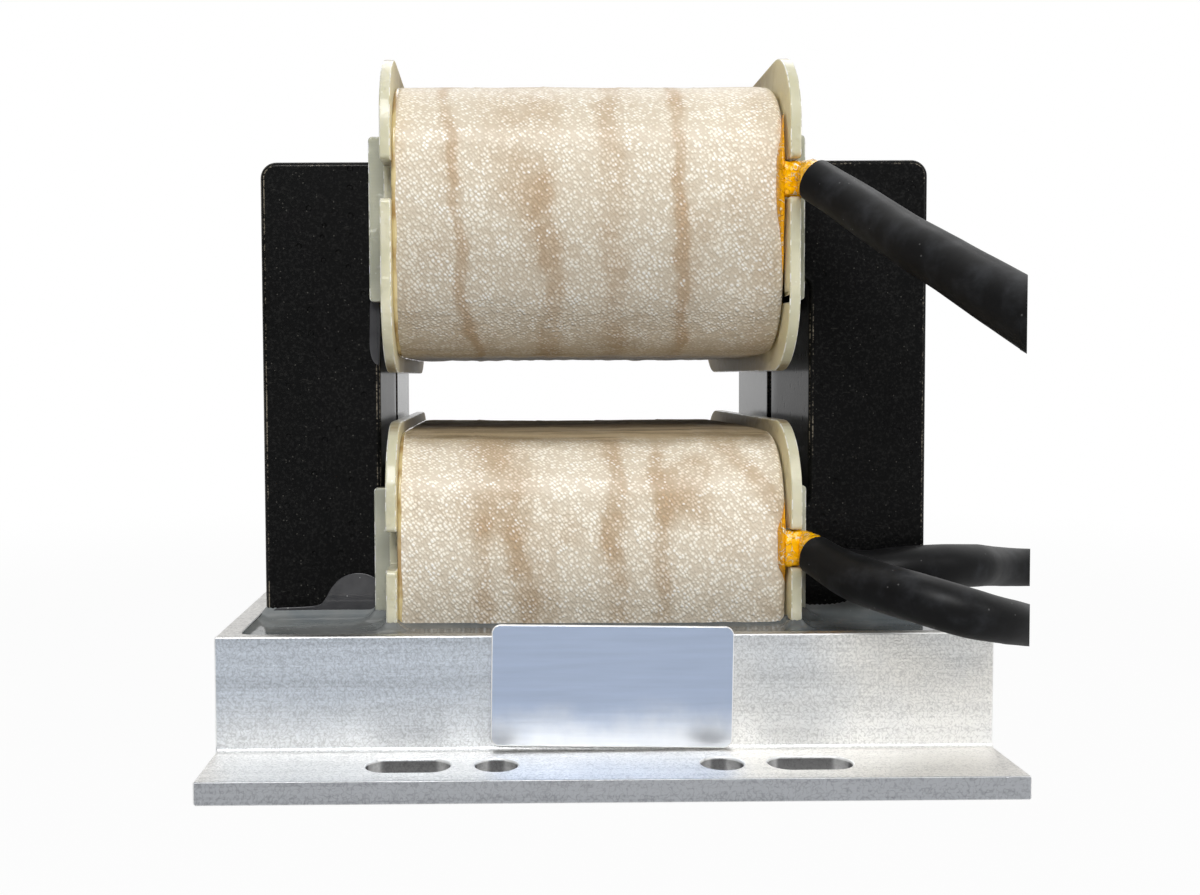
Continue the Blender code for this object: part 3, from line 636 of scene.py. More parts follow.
@dataclass(frozen=True)
class GlassCloth(Finish):
    """Woven glass tape wet through with resin: rows of small threads, cream with brown rings. Their
    glints are painted highlights, partly the fibres' own white.

    middle is the coil's own height above the floor and reach how far its flat front is from the
    middle. soaked is painted shade: where the cloth starts to darken, where it is darkest, and how
    much. pooled is how much painted shade covers the top and the underside, and lift how much
    painted light makes the right end lighter.
    """

    name: str
    stains: tuple[Stain, ...]
    middle: float
    reach: float
    # Painted shade towards the bottom, painted shade on the top and the underside, and painted light on the
    # right end.
    soaked_and_shaded: tuple[float, float, float]
    painted_shade_faces: tuple[float, float]
    lift: float
    light: Colour = (0.850, 0.792, 0.672)
    thread: tuple[float, float] = (0.00078, 0.00102)
    slant: float = math.radians(36)
    tan: Colour = (0.565, 0.400, 0.250)
    gap: Colour = (0.430, 0.325, 0.205)
    # Painted glint on the knots, partly the fibres' own white.
    glint: Colour = (0.98, 0.97, 0.94)
    # Painted shade on the top and the underside, in two browns.
    painted_shade_brown: Colour = (0.200, 0.150, 0.083)
    painted_shade_streaks: Colour = (0.375, 0.293, 0.178)

    def threads(self, shader: Shader, place: Value) -> tuple[Value, Value]:
        """The weave's knots, in slanting rows that follow the wrap round the coil.

        Args:
            shader: The material's nodes.
            place: Where the shaded point is.

        Returns:
            The distance to the nearest knot, and a number from 0 to 1 that is the knot's own.
        """
        x, y, z = shader.split(place)
        side = ((z - self.middle) / 0.006).at_most(1.0).at_least(-1.0)
        round_it = z + (self.reach - y.size()) * side
        cosine, sine = math.cos(self.slant), math.sin(self.slant)
        wide, tall = self.thread
        first = (x * cosine + round_it * sine) / wide
        second = (round_it * cosine - x * sine) / tall
        woven = shader.pushed(shader.joined(first, second), shader.noise_colour(place, 330.0), 1.2)
        return shader.cells(woven, 1.0, 0.50)

    def rings(self, shader: Shader, place: Value) -> Value:
        """How strong the brown rings are.

        Args:
            shader: The material's nodes.
            place: Where the shaded point is.

        Returns:
            The rings' strengths, added up.
        """
        x, _, z = shader.split(place)
        waver = (shader.noise(place, 70.0, 3.0) - 0.5) * 0.0075
        height = z - self.middle + waver
        level = z + waver * 2
        rings = 0.0
        for stain in self.stains:
            off = (x + waver - stain.x - height * stain.lean) / stain.width
            ring = stain.strength / (1 + (off * off) ** 2.0)
            if stain.bottom is not None:
                ring = ring * level.between(stain.bottom - stain.fade, stain.bottom + stain.fade)
            if stain.top is not None:
                ring = ring * (1 - level.between(stain.top - stain.fade, stain.top + stain.fade))
            rings = ring + rings
        return rings

    def sockets(self, shader: Shader) -> dict[str, object]:
        """Knots, gaps and painted glints under rings and clouds, and painted shade low down, on top and
        underneath.
        """
        place = shader.place()
        x, _, z = shader.split(place)
        _, _, up = shader.split(shader.facing())
        clouds = shader.noise(place, 75.0, 5.0, 0.62)
        veil = shader.noise(shader.stretched(place, (110.0, 30.0, 30.0)), 1.0, 4.0, 0.62)
        brown = self.rings(shader, place) * (clouds.between(0.36, 0.58) * 0.65 + 0.35)
        brown = brown + veil.between(0.52, 0.76) * 0.30 + clouds.between(0.54, 0.75) * 0.28
        brown = (brown + (0 - up).between(0.3, 0.9) * 0.12).clamped()
        distance, own = self.threads(shader, place)
        knots = 1 - distance.between(0.14, 0.44)
        gaps = distance.between(0.32, 0.58)
        # Painted shade darkens the cloth towards the bottom; painted light lightens the faces that look
        # down and the right end.
        high, low, darkest = self.soaked_and_shaded
        tone = 1 - (1 - z.between(low, high)) * darkest + (0 - up).between(0.40, 0.95) * 0.26
        tone = tone + x.between(0.005, 0.040) * self.lift
        colour = shader.mix(brown, self.light, self.tan)
        colour = shader.mix(gaps * (0.52 + brown * 0.25), colour, self.gap)
        # Painted glints on the knots, partly the fibres' own white, and patchy.
        patchy = shader.noise(place, 105.0, 2.0).between(0.40, 0.60)
        bright = knots * own.between(0.12, 0.46) * (0.34 + patchy * 0.66)
        colour = shader.shaded(shader.mix((bright * 0.90).clamped(), colour, self.glint), tone)
        # Painted shade, streaked dark brown, on the top and the underside; it is also rougher there.
        top, under = self.painted_shade_faces
        painted_shade_faces = up.between(0.77, 0.95) * top + (0 - up).between(0.70, 0.97) * under
        painted_shade_faces = (painted_shade_faces * (0.6 + clouds * 0.8)).clamped()
        layers = shader.noise(shader.stretched(place, (28.0, 420.0, 420.0)), 1.0, 3.0, 0.6)
        colour = shader.mix(painted_shade_faces, colour, shader.mix(layers.between(0.36, 0.66), self.painted_shade_brown, self.painted_shade_streaks))
        relief = shader.bump(shader.noise(place, 260.0, 3.0), 0.00020)
        relief = shader.bump(1 - distance, 0.00030, relief)
        return {
            "Base Color": colour,
            "Roughness": 0.50 - bright * 0.22 + painted_shade_faces * 0.4,
            "Specular IOR Level": 0.35,
            "Coat Weight": (0.20 + bright * 0.3) * (1 - painted_shade_faces),
            "Coat Roughness": 0.20,
            "Normal": relief,
        }


@dataclass(frozen=True)
class AmberFilm(Finish):
    """Thin amber film, crumpled and wet with resin."""

    name: str = "amber_film"
    honey: Colour = (1.0, 0.50, 0.0)
    # Painted shade in the dark folds.
    brown: Colour = (0.52, 0.190, 0.0)
    # Painted glint on the creases.
    glint: Colour = (0.97, 0.88, 0.60)
    fold_scale: float = 420.0
    layer_scale: float = 260.0
    crease_scale: float = 520.0
    fold_depth: float = 0.0009
    grain_depth: float = 0.00010

    def sockets(self, shader: Shader) -> dict[str, object]:
        """Light and dark folds, the dark ones painted shade, with painted glints on the creases."""
        place = shader.place()
        bent = shader.pushed(place, shader.noise_colour(place, 300.0), 0.0020)
        folds = shader.noise(bent, self.fold_scale, 2.0, 0.5)
        layers = shader.noise(place, self.layer_scale, 3.0, 0.6)
        creases = (shader.noise(bent, self.crease_scale, 1.0) - 0.5).size().between(0.008, 0.034)
        # Painted glints along the creases, and painted shade that turns the dark folds brown.
        glints = (1 - creases) * layers.between(0.48, 0.55)
        depth = ((layers - 0.42) * 2.6 + (folds - 0.5) * 1.6).clamped()
        colour = shader.mix(depth.between(0.42, 1.00), self.honey, self.brown)
        colour = shader.mix(glints * 0.85, colour, self.glint)
        grain = shader.bump(shader.noise(place, 900.0, 3.0), self.grain_depth)
        relief = shader.bump(folds - creases * 0.3, self.fold_depth, grain)
        return {
            "Base Color": colour,
            "Roughness": 0.10 + folds * 0.08,
            "Specular IOR Level": 0.15,
            "Coat Weight": 0.42,
            "Coat Roughness": 0.03,
            "Normal": relief,
        }


@dataclass(frozen=True)
class ClearResin(Finish):
    """Set resin, from clear yellow to brown."""

    name: str = "set_resin"
    pale: Colour = (0.62, 0.50, 0.25)
    deep: Colour = (0.36, 0.23, 0.08)

    def sockets(self, shader: Shader) -> dict[str, object]:
        """Cloudy colour under a glossy face."""
        place = shader.place()
        clouds = shader.noise(place, 160.0, 3.0)
        return {
            "Base Color": shader.mix(clouds.between(0.4, 0.65), self.pale, self.deep),
            "Roughness": 0.12 + clouds * 0.1,
            "Coat Weight": 0.8,
            "Coat Roughness": 0.05,
            "Normal": shader.bump(shader.noise(place, 420.0), 0.0002),
        }


@dataclass(frozen=True)
class ShrinkSleeve(Finish):
    """Black heat-shrink sleeving: matt, with dust and faint rubbed marks."""

    name: str = "shrink_sleeve"
    body: Colour = (0.0045, 0.0046, 0.0049)
    rubbed_and_sheen: Colour = (0.0200, 0.0210, 0.0235)
    dust: Colour = (0.16, 0.16, 0.16)

    def sockets(self, shader: Shader) -> dict[str, object]:
        """Rubbed patches, specks of dust and a fine grain."""
        place = shader.place()
        rubbed_and_sheen = shader.noise(place, 120.0, 4.0, 0.6)
        streaks = shader.noise(shader.stretched(place, (160.0, 900.0, 1300.0)), 1.0, 3.0)
        dust = shader.specks(place, 620.0, 0.14, 0.15)
        colour = shader.mix(rubbed_and_sheen.between(0.45, 0.75), self.body, self.rubbed_and_sheen)
        colour = shader.mix(dust * 0.45, colour, self.dust)
        grain = shader.noise(place, 1500.0, 2.0)
        _, _, up = shader.split(shader.facing())
        return {
            "Base Color": colour,
            "Roughness": 0.46 + rubbed_and_sheen * 0.16 + streaks * 0.06,
            "Specular IOR Level": 0.10,
            "Coat Weight": 0.03 + up.between(0.1, 0.95) * (0.12 + rubbed_and_sheen * 0.38),
            "Coat Roughness": 0.33,
            "Normal": shader.bump(grain * 0.5 + streaks * 0.4, 0.00003),
        }


@dataclass(frozen=True)
class PottingCompound(Finish):
    """Grey potting compound, set hard and shiny."""

    name: str = "potting_compound"
    grey: Colour = (0.150, 0.170, 0.180)
    settled: Colour = (0.215, 0.225, 0.220)
    roughness: float = 0.07
    dust: Colour = (0.5, 0.5, 0.5)
    # How far along X the painted shade reaches.
    window: tuple[float, float] = (0.040, 0.056)

    def sockets(self, shader: Shader) -> dict[str, object]:
        """Slow clouds of filler, a few bubbles and dust, and painted shade under the window."""
        place = shader.place()
        clouds = shader.noise(place, 55.0, 4.0, 0.6)
        bubbles = shader.specks(place, 260.0, 0.22, 0.13)
        dust = shader.specks(place, 640.0, 0.22, 0.12)
        colour = shader.mix(clouds.between(0.38, 0.66), self.grey, self.settled)
        colour = shader.mix(dust * 0.5, colour, self.dust)
        x, _, _ = shader.split(place)
        # Painted shade on the compound within the window's reach along X, in front of and behind the coil.
        colour = shader.shaded(colour, 0.55 + x.size().between(*self.window) * 0.45)
        waves = shader.noise(place, 110.0, 2.0)
        return {
            "Base Color": colour,
            "Roughness": self.roughness + clouds * 0.07,
            "Specular IOR Level": 0.40,
            "Coat Weight": 0.25,
            "Coat Roughness": 0.03,
            "Normal": shader.bump(waves + bubbles * 0.5, 0.00016),
        }


@dataclass(frozen=True)
class PlateMetal(Finish):
    """The bare rating plate: thin rolled metal under a bluish lacquer."""

    name: str = "plate_metal"
    blue: Colour = (0.42, 0.50, 0.655)
    silver: Colour = (0.665, 0.70, 0.755)
    # Painted highlight on the edges.
    painted_rim_highlight: Colour = (0.98, 0.98, 0.98)
    bottom: float = 0.006
    fade_height: float = 0.020

    def sockets(self, shader: Shader) -> dict[str, object]:
        """Fine rolling marks, a tint that is bluer at the top, and painted highlights on the edges."""
        place = shader.place()
        _, _, z = shader.split(place)
        rolled = shader.noise(shader.stretched(place, (60.0, 900.0, 900.0)), 1.0, 3.0)
        smudges = shader.noise(place, 90.0, 4.0, 0.6)
        rise = ((z - self.bottom) / self.fade_height + (smudges - 0.5) * 0.5).clamped()
        tint = shader.mix(rise.between(0.0, 0.50), self.silver, self.blue)
        _, front, _ = shader.split(shader.facing())
        # Painted highlight on the edges, where the faces turn away from the front.
        edge = 1 - front.size().between(0.90, 0.98)
        tint = shader.mix(edge, tint, self.painted_rim_highlight)
        return {
            "Base Color": shader.shaded(tint, 0.88 + rolled * 0.22),
            "Metallic": 0.85 - edge * 0.7,
            "Roughness": 0.26 + smudges * 0.16,
            "Normal": shader.bump(rolled + smudges * 0.4, 0.00003),
        }


@dataclass(frozen=True)
class LitzCable(Finish):
    """Flat bunched cable of fine enamelled strands."""

    name: str = "litz_cable"
    copper: Colour = (0.58, 0.29, 0.15)
    shadow: Colour = (0.10, 0.045, 0.022)

    def sockets(self, shader: Shader) -> dict[str, object]:
        """Strands along the cable's sides, and their round ends where it is cut."""
        place = shader.place()
        side, _, _ = shader.split(shader.facing())
        distance, own = shader.cells(place, 2300.0, 0.6)
        strands = shader.noise(shader.stretched(place, (2200.0, 500.0, 500.0)), 1.0, 2.0)
        cut = side.size().between(0.60, 0.80)
        strands = strands.between(0.40, 0.62) * (1 - cut) + (1 - distance.between(0.30, 0.48)) * cut
        return {
            "Base Color": shader.mix(strands, self.shadow, self.copper),
            "Metallic": 0.75,
            "Roughness": 0.32 + own * 0.2,
            "Normal": shader.bump(strands, 0.0001),
        }


UPPER_STAINS = (
    Stain(-0.0318, 0.0013, 0.80, -0.11),
    Stain(-0.0165, 0.0062, 0.48, 0.0, 0.126),
    Stain(-0.0122, 0.0023, 0.85, -0.06, top=0.131),
    Stain(0.0032, 0.0026, 0.66, -0.03),
    Stain(0.0190, 0.0016, 0.95, -0.02),
    Stain(0.0380, 0.0030, 0.22, 0.0),
)
LOWER_STAINS = (
    Stain(-0.0235, 0.0062, 0.72, 0.0, 0.049),
    Stain(-0.0270, 0.0021, 0.62, -0.06, top=0.053),
    Stain(-0.0183, 0.0021, 0.80, -0.10, top=0.053),
    Stain(0.0036, 0.0023, 0.80, -0.02),
    Stain(0.0195, 0.0056, 0.72, 0.0, 0.053, 0.066),
    Stain(0.0142, 0.0019, 0.70, 0.02, top=0.070),
    Stain(0.0470, 0.0034, 0.62, -0.78),
)


class Palette:
    """Every finish of the reactor, each made once."""

    def __init__(self) -> None:
        """Makes the materials."""
        self.aluminium = ExtrudedAluminium().material()
        self.ferrite = BlackFerrite().material()
        self.laminate = GlassLaminate().material()
        # A darker copy of the laminate, for the tube's side plates: painted shade.
        self.plates = GlassLaminate(
            "painted_shade_plate", pale=(0.45, 0.45, 0.36), deep=(0.34, 0.345, 0.28),
        ).material()
        self.film = AmberFilm().material()
        # A darker copy of the film, for the wrap under the tape and the loose flaps: painted shade.
        self.painted_shade_film = AmberFilm("painted_shade_film", honey=(0.80, 0.36, 0.0), brown=(0.30, 0.10, 0.0)).material()
        self.resin = ClearResin().material()
        self.sleeve = ShrinkSleeve().material()
        self.potting = PottingCompound().material()
        self.smear = PottingCompound(
            "potting_smear", grey=(0.030, 0.030, 0.033), settled=(0.060, 0.060, 0.064), roughness=0.16,
        ).material()
        self.plate = PlateMetal().material()
        self.litz = LitzCable().material()
        self.cloth = {
            # Each tape's darkening, dark top and underside, and lighter right end are painted shade and
            # painted light.
            Level.UPPER: GlassCloth(
                "upper_glass_cloth", UPPER_STAINS, middle=0.1219, reach=0.0570,
                soaked_and_shaded=(0.140, 0.102, 0.37), painted_shade_faces=(0.15, 0.50), lift=0.10,
            ).material(),
            # The lower tape's lighter cream is painted light.
            Level.LOWER: GlassCloth(
                "lower_glass_cloth", LOWER_STAINS, middle=0.0470, reach=0.0570,
                soaked_and_shaded=(0.0560, 0.0300, 0.25), painted_shade_faces=(1.0, 0.55), lift=0.03, light=(0.955, 0.895, 0.770),
            ).material(),
        }


def rounded(corners: Sequence[Corner], steps: int = CORNER_STEPS) -> list[Vector]:
    """Turns a polygon's corners into arcs.

    Args:
        corners: (x, y, radius) of each corner, counter-clockwise.
        steps: Faces in each arc.

    Returns:
        The outline's points.
    """
    outline = []
    count = len(corners)
    for index, (x, y, radius) in enumerate(corners):
        corner = Vector((x, y))
        if radius <= 0.0:
            outline.append(corner)
            continue
        before = (Vector(corners[index - 1][:2]) - corner).normalized()
        after = (Vector(corners[(index + 1) % count][:2]) - corner).normalized()
        half_angle = before.angle(after) / 2
        centre = corner + (before + after).normalized() * (radius / math.sin(half_angle))
        start = corner + before * (radius / math.tan(half_angle)) - centre
        end = corner + after * (radius / math.tan(half_angle)) - centre
        turn = start.angle_signed(end)
        for step in range(steps + 1):
            spoke = start.copy()
            spoke.rotate(Matrix.Rotation(-turn * step / steps, 2))
            outline.append(centre + spoke)
    return outline


def rectangle(low: Sequence[float], high: Sequence[float], radius: float = 0.0) -> list[Vector]:
    """A rectangle between two opposite corners, with its own corners rounded."""
    return rounded(((low[0], low[1], radius), (high[0], low[1], radius),
                    (high[0], high[1], radius), (low[0], high[1], radius)))


def slot_outline(centre: tuple[float, float], length: float, width: float) -> list[Vector]:
    """A straight slot with round ends, or a round hole where the length is the width.

    Args:
        centre: The slot's middle.
        length: Its length, with its ends.
        width: Its width.

    Returns:
        The outline's points.
    """
    half_straight = (length - width) / 2
    half_turn = HOLE_SIDES // 2
    outline = []
    for side, start in ((1, -math.pi / 2), (-1, math.pi / 2)):
        for step in range(half_turn + (half_straight > 0.0)):
            angle = start + math.pi * step / half_turn
            x = centre[0] + side * half_straight + width / 2 * math.cos(angle)
            outline.append(Vector((x, centre[1] + width / 2 * math.sin(angle))))
    return outline


@contextmanager
def opened(mesh: bpy.types.Mesh) -> Iterator[bmesh.types.BMesh]:
    """Opens a mesh to work on, and writes it back afterwards.

    Args:
        mesh: The mesh.

    Yields:
        What bmesh's operations work on.
    """
    body = bmesh.new()
    body.from_mesh(mesh)
    yield body
    body.to_mesh(mesh)
    body.free()


def merge_flat(mesh: bpy.types.Mesh) -> None:
    """Joins the faces that lie in one plane, so that nothing stands in a rounded edge's way.

    Args:
        mesh: The mesh, which is changed.
    """
    with opened(mesh) as body:
        bmesh.ops.remove_doubles(body, verts=body.verts, dist=SAME_POINT)
        bmesh.ops.dissolve_degenerate(body, dist=SAME_POINT, edges=body.edges)
        bmesh.ops.dissolve_limit(body, angle_limit=SAME_PLANE, verts=body.verts, edges=body.edges)
        bmesh.ops.recalc_face_normals(body, faces=body.faces)


def smoothed(mesh: bpy.types.Mesh, sharp: float = SHARP_EDGE) -> bpy.types.Mesh:
    """Shades a mesh smooth up to an angle in degrees, past which its edges stay sharp."""
    mesh.shade_smooth()
    mesh.set_sharp_from_angle(angle=math.radians(sharp))
    return mesh


def guide_object(name: str, data: bpy.types.ID) -> bpy.types.Object:
    """Adds an object to the scene.

    Args:
        name: The object's name.
        data: Its mesh, curve, lamp or camera.

    Returns:
        The object.
    """
    guide = bpy.data.objects.new(name, data)
    bpy.context.scene.collection.objects.link(guide)
    return guide


def settled(guide: bpy.types.Object) -> bpy.types.Mesh:
    """Takes an object's finished mesh, with its modifiers, and removes the object.

    Args:
        guide: The object.

    Returns:
        The mesh, in the object's own frame.
    """
    bpy.context.view_layer.update()
    depsgraph = bpy.context.evaluated_depsgraph_get()
    evaluated = guide.evaluated_get(depsgraph)
    mesh = bpy.data.meshes.new_from_object(evaluated, preserve_all_data_layers=True, depsgraph=depsgraph)
    bpy.data.objects.remove(guide)
    return mesh


def extruded(name: str, outlines: Sequence[Sequence[Vector]], thickness: float, centre: Sequence[float],
             turned: Sequence[float]) -> bpy.types.Mesh:
    """Extrudes a drawing to a plate.

    Args:
        name: The mesh's name.
        outlines: The plate's outline, and after it the openings in it.
        thickness: The plate's thickness.
        centre: Where the drawing's zero lies.
        turned: The drawing's rotation.

    Returns:
        A closed mesh in the model's frame.
    """
    curve = bpy.data.curves.new(name, "CURVE")
    curve.dimensions = "2D"
    curve.fill_mode = "BOTH"
    curve.extrude = thickness / 2
    for outline in outlines:
        spline = curve.splines.new("POLY")
        spline.points.add(len(outline) - 1)
        for point, (x, y) in zip(spline.points, outline):
            point.co = (x, y, 0.0, 1.0)
        spline.use_cyclic_u = True
    guide = guide_object(name, curve)
    guide.location = centre
    guide.rotation_euler = turned
    bpy.context.view_layer.update()
    world = guide.matrix_world.copy()
    mesh = settled(guide)
    mesh.transform(world)
    merge_flat(mesh)
    mesh.shade_smooth()
    return mesh


def edged(mesh: bpy.types.Mesh, width: float, segments: int = 3) -> bpy.types.Mesh:
    """Rounds a mesh's sharp edges and keeps its flat faces flat.

    Args:
        mesh: The mesh.
        width: The rounding's width.
        segments: The faces across it.

    Returns:
        The rounded mesh.
    """
    guide = guide_object("edges", mesh)
    modifier = guide.modifiers.new("edges", "BEVEL")
    modifier.width = width
    modifier.segments = segments
    modifier.limit_method = "ANGLE"
    modifier.angle_limit = ROUNDED_EDGE
    modifier.use_clamp_overlap = False
    modifier.harden_normals = True
    return settled(guide)


def carved(mesh: bpy.types.Mesh, cutters: Iterable[bpy.types.Mesh]) -> bpy.types.Mesh:
    """Cuts a mesh with others.

    Args:
        mesh: The mesh.
        cutters: What is taken away from it.

    Returns:
        The cut mesh.
    """
    guide = guide_object("carved", mesh)
    helpers = [guide_object("cutter", cutter) for cutter in cutters]
    for helper in helpers:
        modifier = guide.modifiers.new("cut", "BOOLEAN")
        modifier.operation = "DIFFERENCE"
        modifier.solver = "EXACT"
        modifier.object = helper
    made = settled(guide)
    for helper in helpers:
        bpy.data.objects.remove(helper)
    merge_flat(made)
    made.shade_smooth()
    return made


def mesh_of(name: str, points: Sequence[Vector], faces: Sequence[Sequence[int]],
            sharp: float = SHARP_EDGE) -> bpy.types.Mesh:
    """Makes a mesh of points and faces, with its normals outwards and its sharp edges kept.

    Args:
        name: The mesh's name.
        points: Its points.
        faces: The numbers of each face's points.
        sharp: The angle in degrees past which an edge is sharp.

    Returns:
        The mesh.
    """
    mesh = bpy.data.meshes.new(name)
    mesh.from_pydata([tuple(point) for point in points], [], faces)
    with opened(mesh) as body:
        bmesh.ops.recalc_face_normals(body, faces=body.faces)
    return smoothed(mesh, sharp)


def ring_faces(rows: int, columns: int, closed: bool) -> list[tuple[int, ...]]:
    """The faces between rings of points.

    Args:
        rows: How many rings there are.
        columns: How many points each ring has.
        closed: Whether the last ring joins the first one.

    Returns:
        The numbers of each face's points.
    """
    faces = []
    for row in range(rows if closed else rows - 1):
        here = row * columns
        there = (row + 1) % rows * columns
        for column in range(columns):
            other = (column + 1) % columns
            faces.append((here + column, here + other, there + other, there + column))
    return faces


def lofted(name: str, rings: Sequence[Sequence[Vector]], sharp: float = SHARP_EDGE) -> bpy.types.Mesh:
    """Joins rings of points into a closed skin with flat ends.

    Args:
        name: The mesh's name.
        rings: The rings, each with as many points.
        sharp: The angle in degrees past which an edge is sharp.

    Returns:
        The mesh.
    """
    count = len(rings[0])
    points = [point for ring in rings for point in ring]
    faces = ring_faces(len(rings), count, closed=False)
    faces.append(tuple(range(count)))
    faces.append(tuple(range(len(points) - count, len(points))))
    return mesh_of(name, points, faces, sharp)


def curve_point(before: Vector, start: Vector, end: Vector, after: Vector, t: float) -> Vector:
    """A point on the smooth curve through four points.

    Args:
        before: The first point.
        start: The second point, where t is 0.
        end: The third point, where t is 1.
        after: The fourth point.
        t: How far from the second to the third point.

    Returns:
        The point.
    """
    return 0.5 * (
        2 * start
        + (end - before) * t
        + (2 * before - 5 * start + 4 * end - after) * t ** 2
        + (3 * start - before - 3 * end + after) * t ** 3
    )


def centre_of(points: Sequence[Vector]) -> Vector:
    """The middle of a few points."""
    return sum(points, Vector((0.0, 0.0, 0.0))) / len(points)


def rough(point: Vector, scale: float, seed: float = 0.0) -> float:
    """Soft noise from about -1 to 1 at a point."""
    return noise.noise(Vector((point.x * scale + seed, point.y * scale - seed, point.z * scale + 2 * seed)))


def ramp(value: float, low: float, high: float) -> float:
    """A smooth step from 0 at low to 1 at high."""
    t = min(1.0, max(0.0, (value - low) / (high - low)))
    return t * t * (3 - 2 * t)


def add_piece(name: str, mesh: bpy.types.Mesh, material: bpy.types.Material,
              stands_for: Sequence[str] = ()) -> bpy.types.Object:
    """Adds a finished mesh to the reactor.

    Args:
        name: The piece's name.
        mesh: Its mesh, in the model's frame.
        material: Its finish.
        stands_for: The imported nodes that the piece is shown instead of.

    Returns:
        The piece.
    """
    piece = guide_object(name, mesh)
    mesh.name = name
    mesh.materials.clear()
    mesh.materials.append(material)
    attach(piece, "root")
    if stands_for:
        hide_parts(*stands_for)
    LOG.info("%s: %d faces", name, len(mesh.polygons))
    return piece


def dress_node(name: str, material: bpy.types.Material) -> None:
    """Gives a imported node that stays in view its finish.

    Args:
        name: The node's name.
        material: Its finish.
    """
    node = frame["nodes"][name]
    node.data.materials.clear()
    node.data.materials.append(material)
    LOG.info("%s: finish only", name)


class Assembly:
    """A part of the reactor that makes and dresses its own pieces."""

    def build(self, palette: Palette) -> None:
        """Makes the pieces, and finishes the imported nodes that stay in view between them.

        Args:
            palette: The finishes.
        """
        raise NotImplementedError


@dataclass
class Tray(Assembly):
    """The mounting tray: an extruded hat section, milled out and drilled."""

    floor: float = 0.004
    end_wall: float = 0.005
    side_wall: float = 0.003
    foot_depth: float = 0.0205
    foot_thickness: float = 0.0048
    foot_fillet: float = 0.001
    cavity_corner: float = 0.003
    hole_diameter: float = 0.009
    hole_spacing: float = 0.0475
    slot_length: float = 0.0178
    slot_spacing: float = 0.0846
    edge_break: float = 0.00045
    edge_segments: int = 2
    low: Vector = field(default_factory=lambda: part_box("mounting_tray")[0])
    high: Vector = field(default_factory=lambda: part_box("mounting_tray")[1])

    @property
    def wall_y(self) -> float:
        """How far the side walls' outer faces are from the middle."""
        return self.high.y - self.foot_depth

    def section(self) -> list[Vector]:
        """The hat section, seen along X.

        Returns:
            The outline's points.
        """
        foot, wall, top = self.high.y, self.wall_y, self.high.z
        thick, fillet = self.foot_thickness, self.foot_fillet
        return rounded((
            (-foot, 0.0, 0.0), (foot, 0.0, 0.0), (foot, thick, 0.0), (wall, thick, fillet),
            (wall, top, 0.0), (-wall, top, 0.0), (-wall, thick, fillet), (-foot, thick, 0.0),
        ))

    def cutters(self) -> list[bpy.types.Mesh]:
        """The cavity, the round holes and the slots.

        Returns:
            The meshes to cut with.
        """
        reach_x = self.high.x - self.end_wall
        reach_y = self.wall_y - self.side_wall
        height = self.high.z
        cavity = rectangle((-reach_x, -reach_y), (reach_x, reach_y), self.cavity_corner)
        made = [extruded("cavity", [cavity], height, (0.0, 0.0, self.floor + height / 2), LYING)]
        row = self.wall_y + self.foot_depth / 2
        for side in Side:
            for hand in Hand:
                for spacing, length in ((self.hole_spacing, self.hole_diameter),
                                        (self.slot_spacing, self.slot_length)):
                    centre = (hand.sign * spacing / 2, side.sign * row)
                    outline = slot_outline(centre, length, self.hole_diameter)
                    depth = 3 * self.foot_thickness
                    made.append(extruded("hole", [outline], depth, (0.0, 0.0, 0.0), LYING))
        return made

    def build(self, palette: Palette) -> None:
        """Makes the tray."""
        body = extruded("tray", [self.section()], self.high.x - self.low.x, (0.0, 0.0, 0.0), FACING_X)
        mesh = edged(carved(body, self.cutters()), self.edge_break, self.edge_segments)
        add_piece("milled_tray", mesh, palette.aluminium, ["mounting_tray"])


@dataclass
class Core(Assembly):
    """Four ferrite U-cores with the spacers and dividers between them."""

    leg: float = 0.028
    outer_radius: float = 0.0038
    inner_radius: float = 0.002
    edge: float = 0.0012
    edge_segments: int = 5

    def outline(self, hand: Hand, low: Vector, high: Vector) -> list[Vector]:
        """One U-core seen from the front: its back outwards, its limbs towards the middle.

        Args:
            hand: Which end of the reactor it is at.
            low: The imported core's lowest corner.
            high: Its highest corner.

        Returns:
            The outline's points.
        """
        face, back = sorted((abs(low.x), abs(high.x)))
        inner = back - self.leg
        corners = [
            (back, low.z, self.outer_radius), (back, high.z, self.outer_radius), (face, high.z, 0.0),
            (face, high.z - self.leg, 0.0), (inner, high.z - self.leg, self.inner_radius),
            (inner, low.z + self.leg, self.inner_radius), (face, low.z + self.leg, 0.0), (face, low.z, 0.0),
        ]
        if hand is Hand.LEFT:
            corners = [(-x, z, radius) for x, z, radius in reversed(corners)]
        return rounded(corners)

    def build(self, palette: Palette) -> None:
        """Makes the U-cores and dresses what lies between them."""
        for side in Side:
            for hand in Hand:
                node = f"core_{side.value}_{hand.value}"
                low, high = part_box(node)
                depth = high.y - low.y
                centre = (0.0, (low.y + high.y) / 2, 0.0)
                mesh = extruded(node, [self.outline(hand, low, high)], depth, centre, FACING_Y)
                mesh = edged(mesh, self.edge, self.edge_segments)
                add_piece(f"ferrite_{side.value}_{hand.value}", mesh, palette.ferrite, [node])
            for level in Level:
                dress_node(f"gap_spacer_{level.value}_{side.value}", palette.laminate)
        for hand in Hand:
            dress_node(f"core_divider_{hand.value}", palette.laminate)


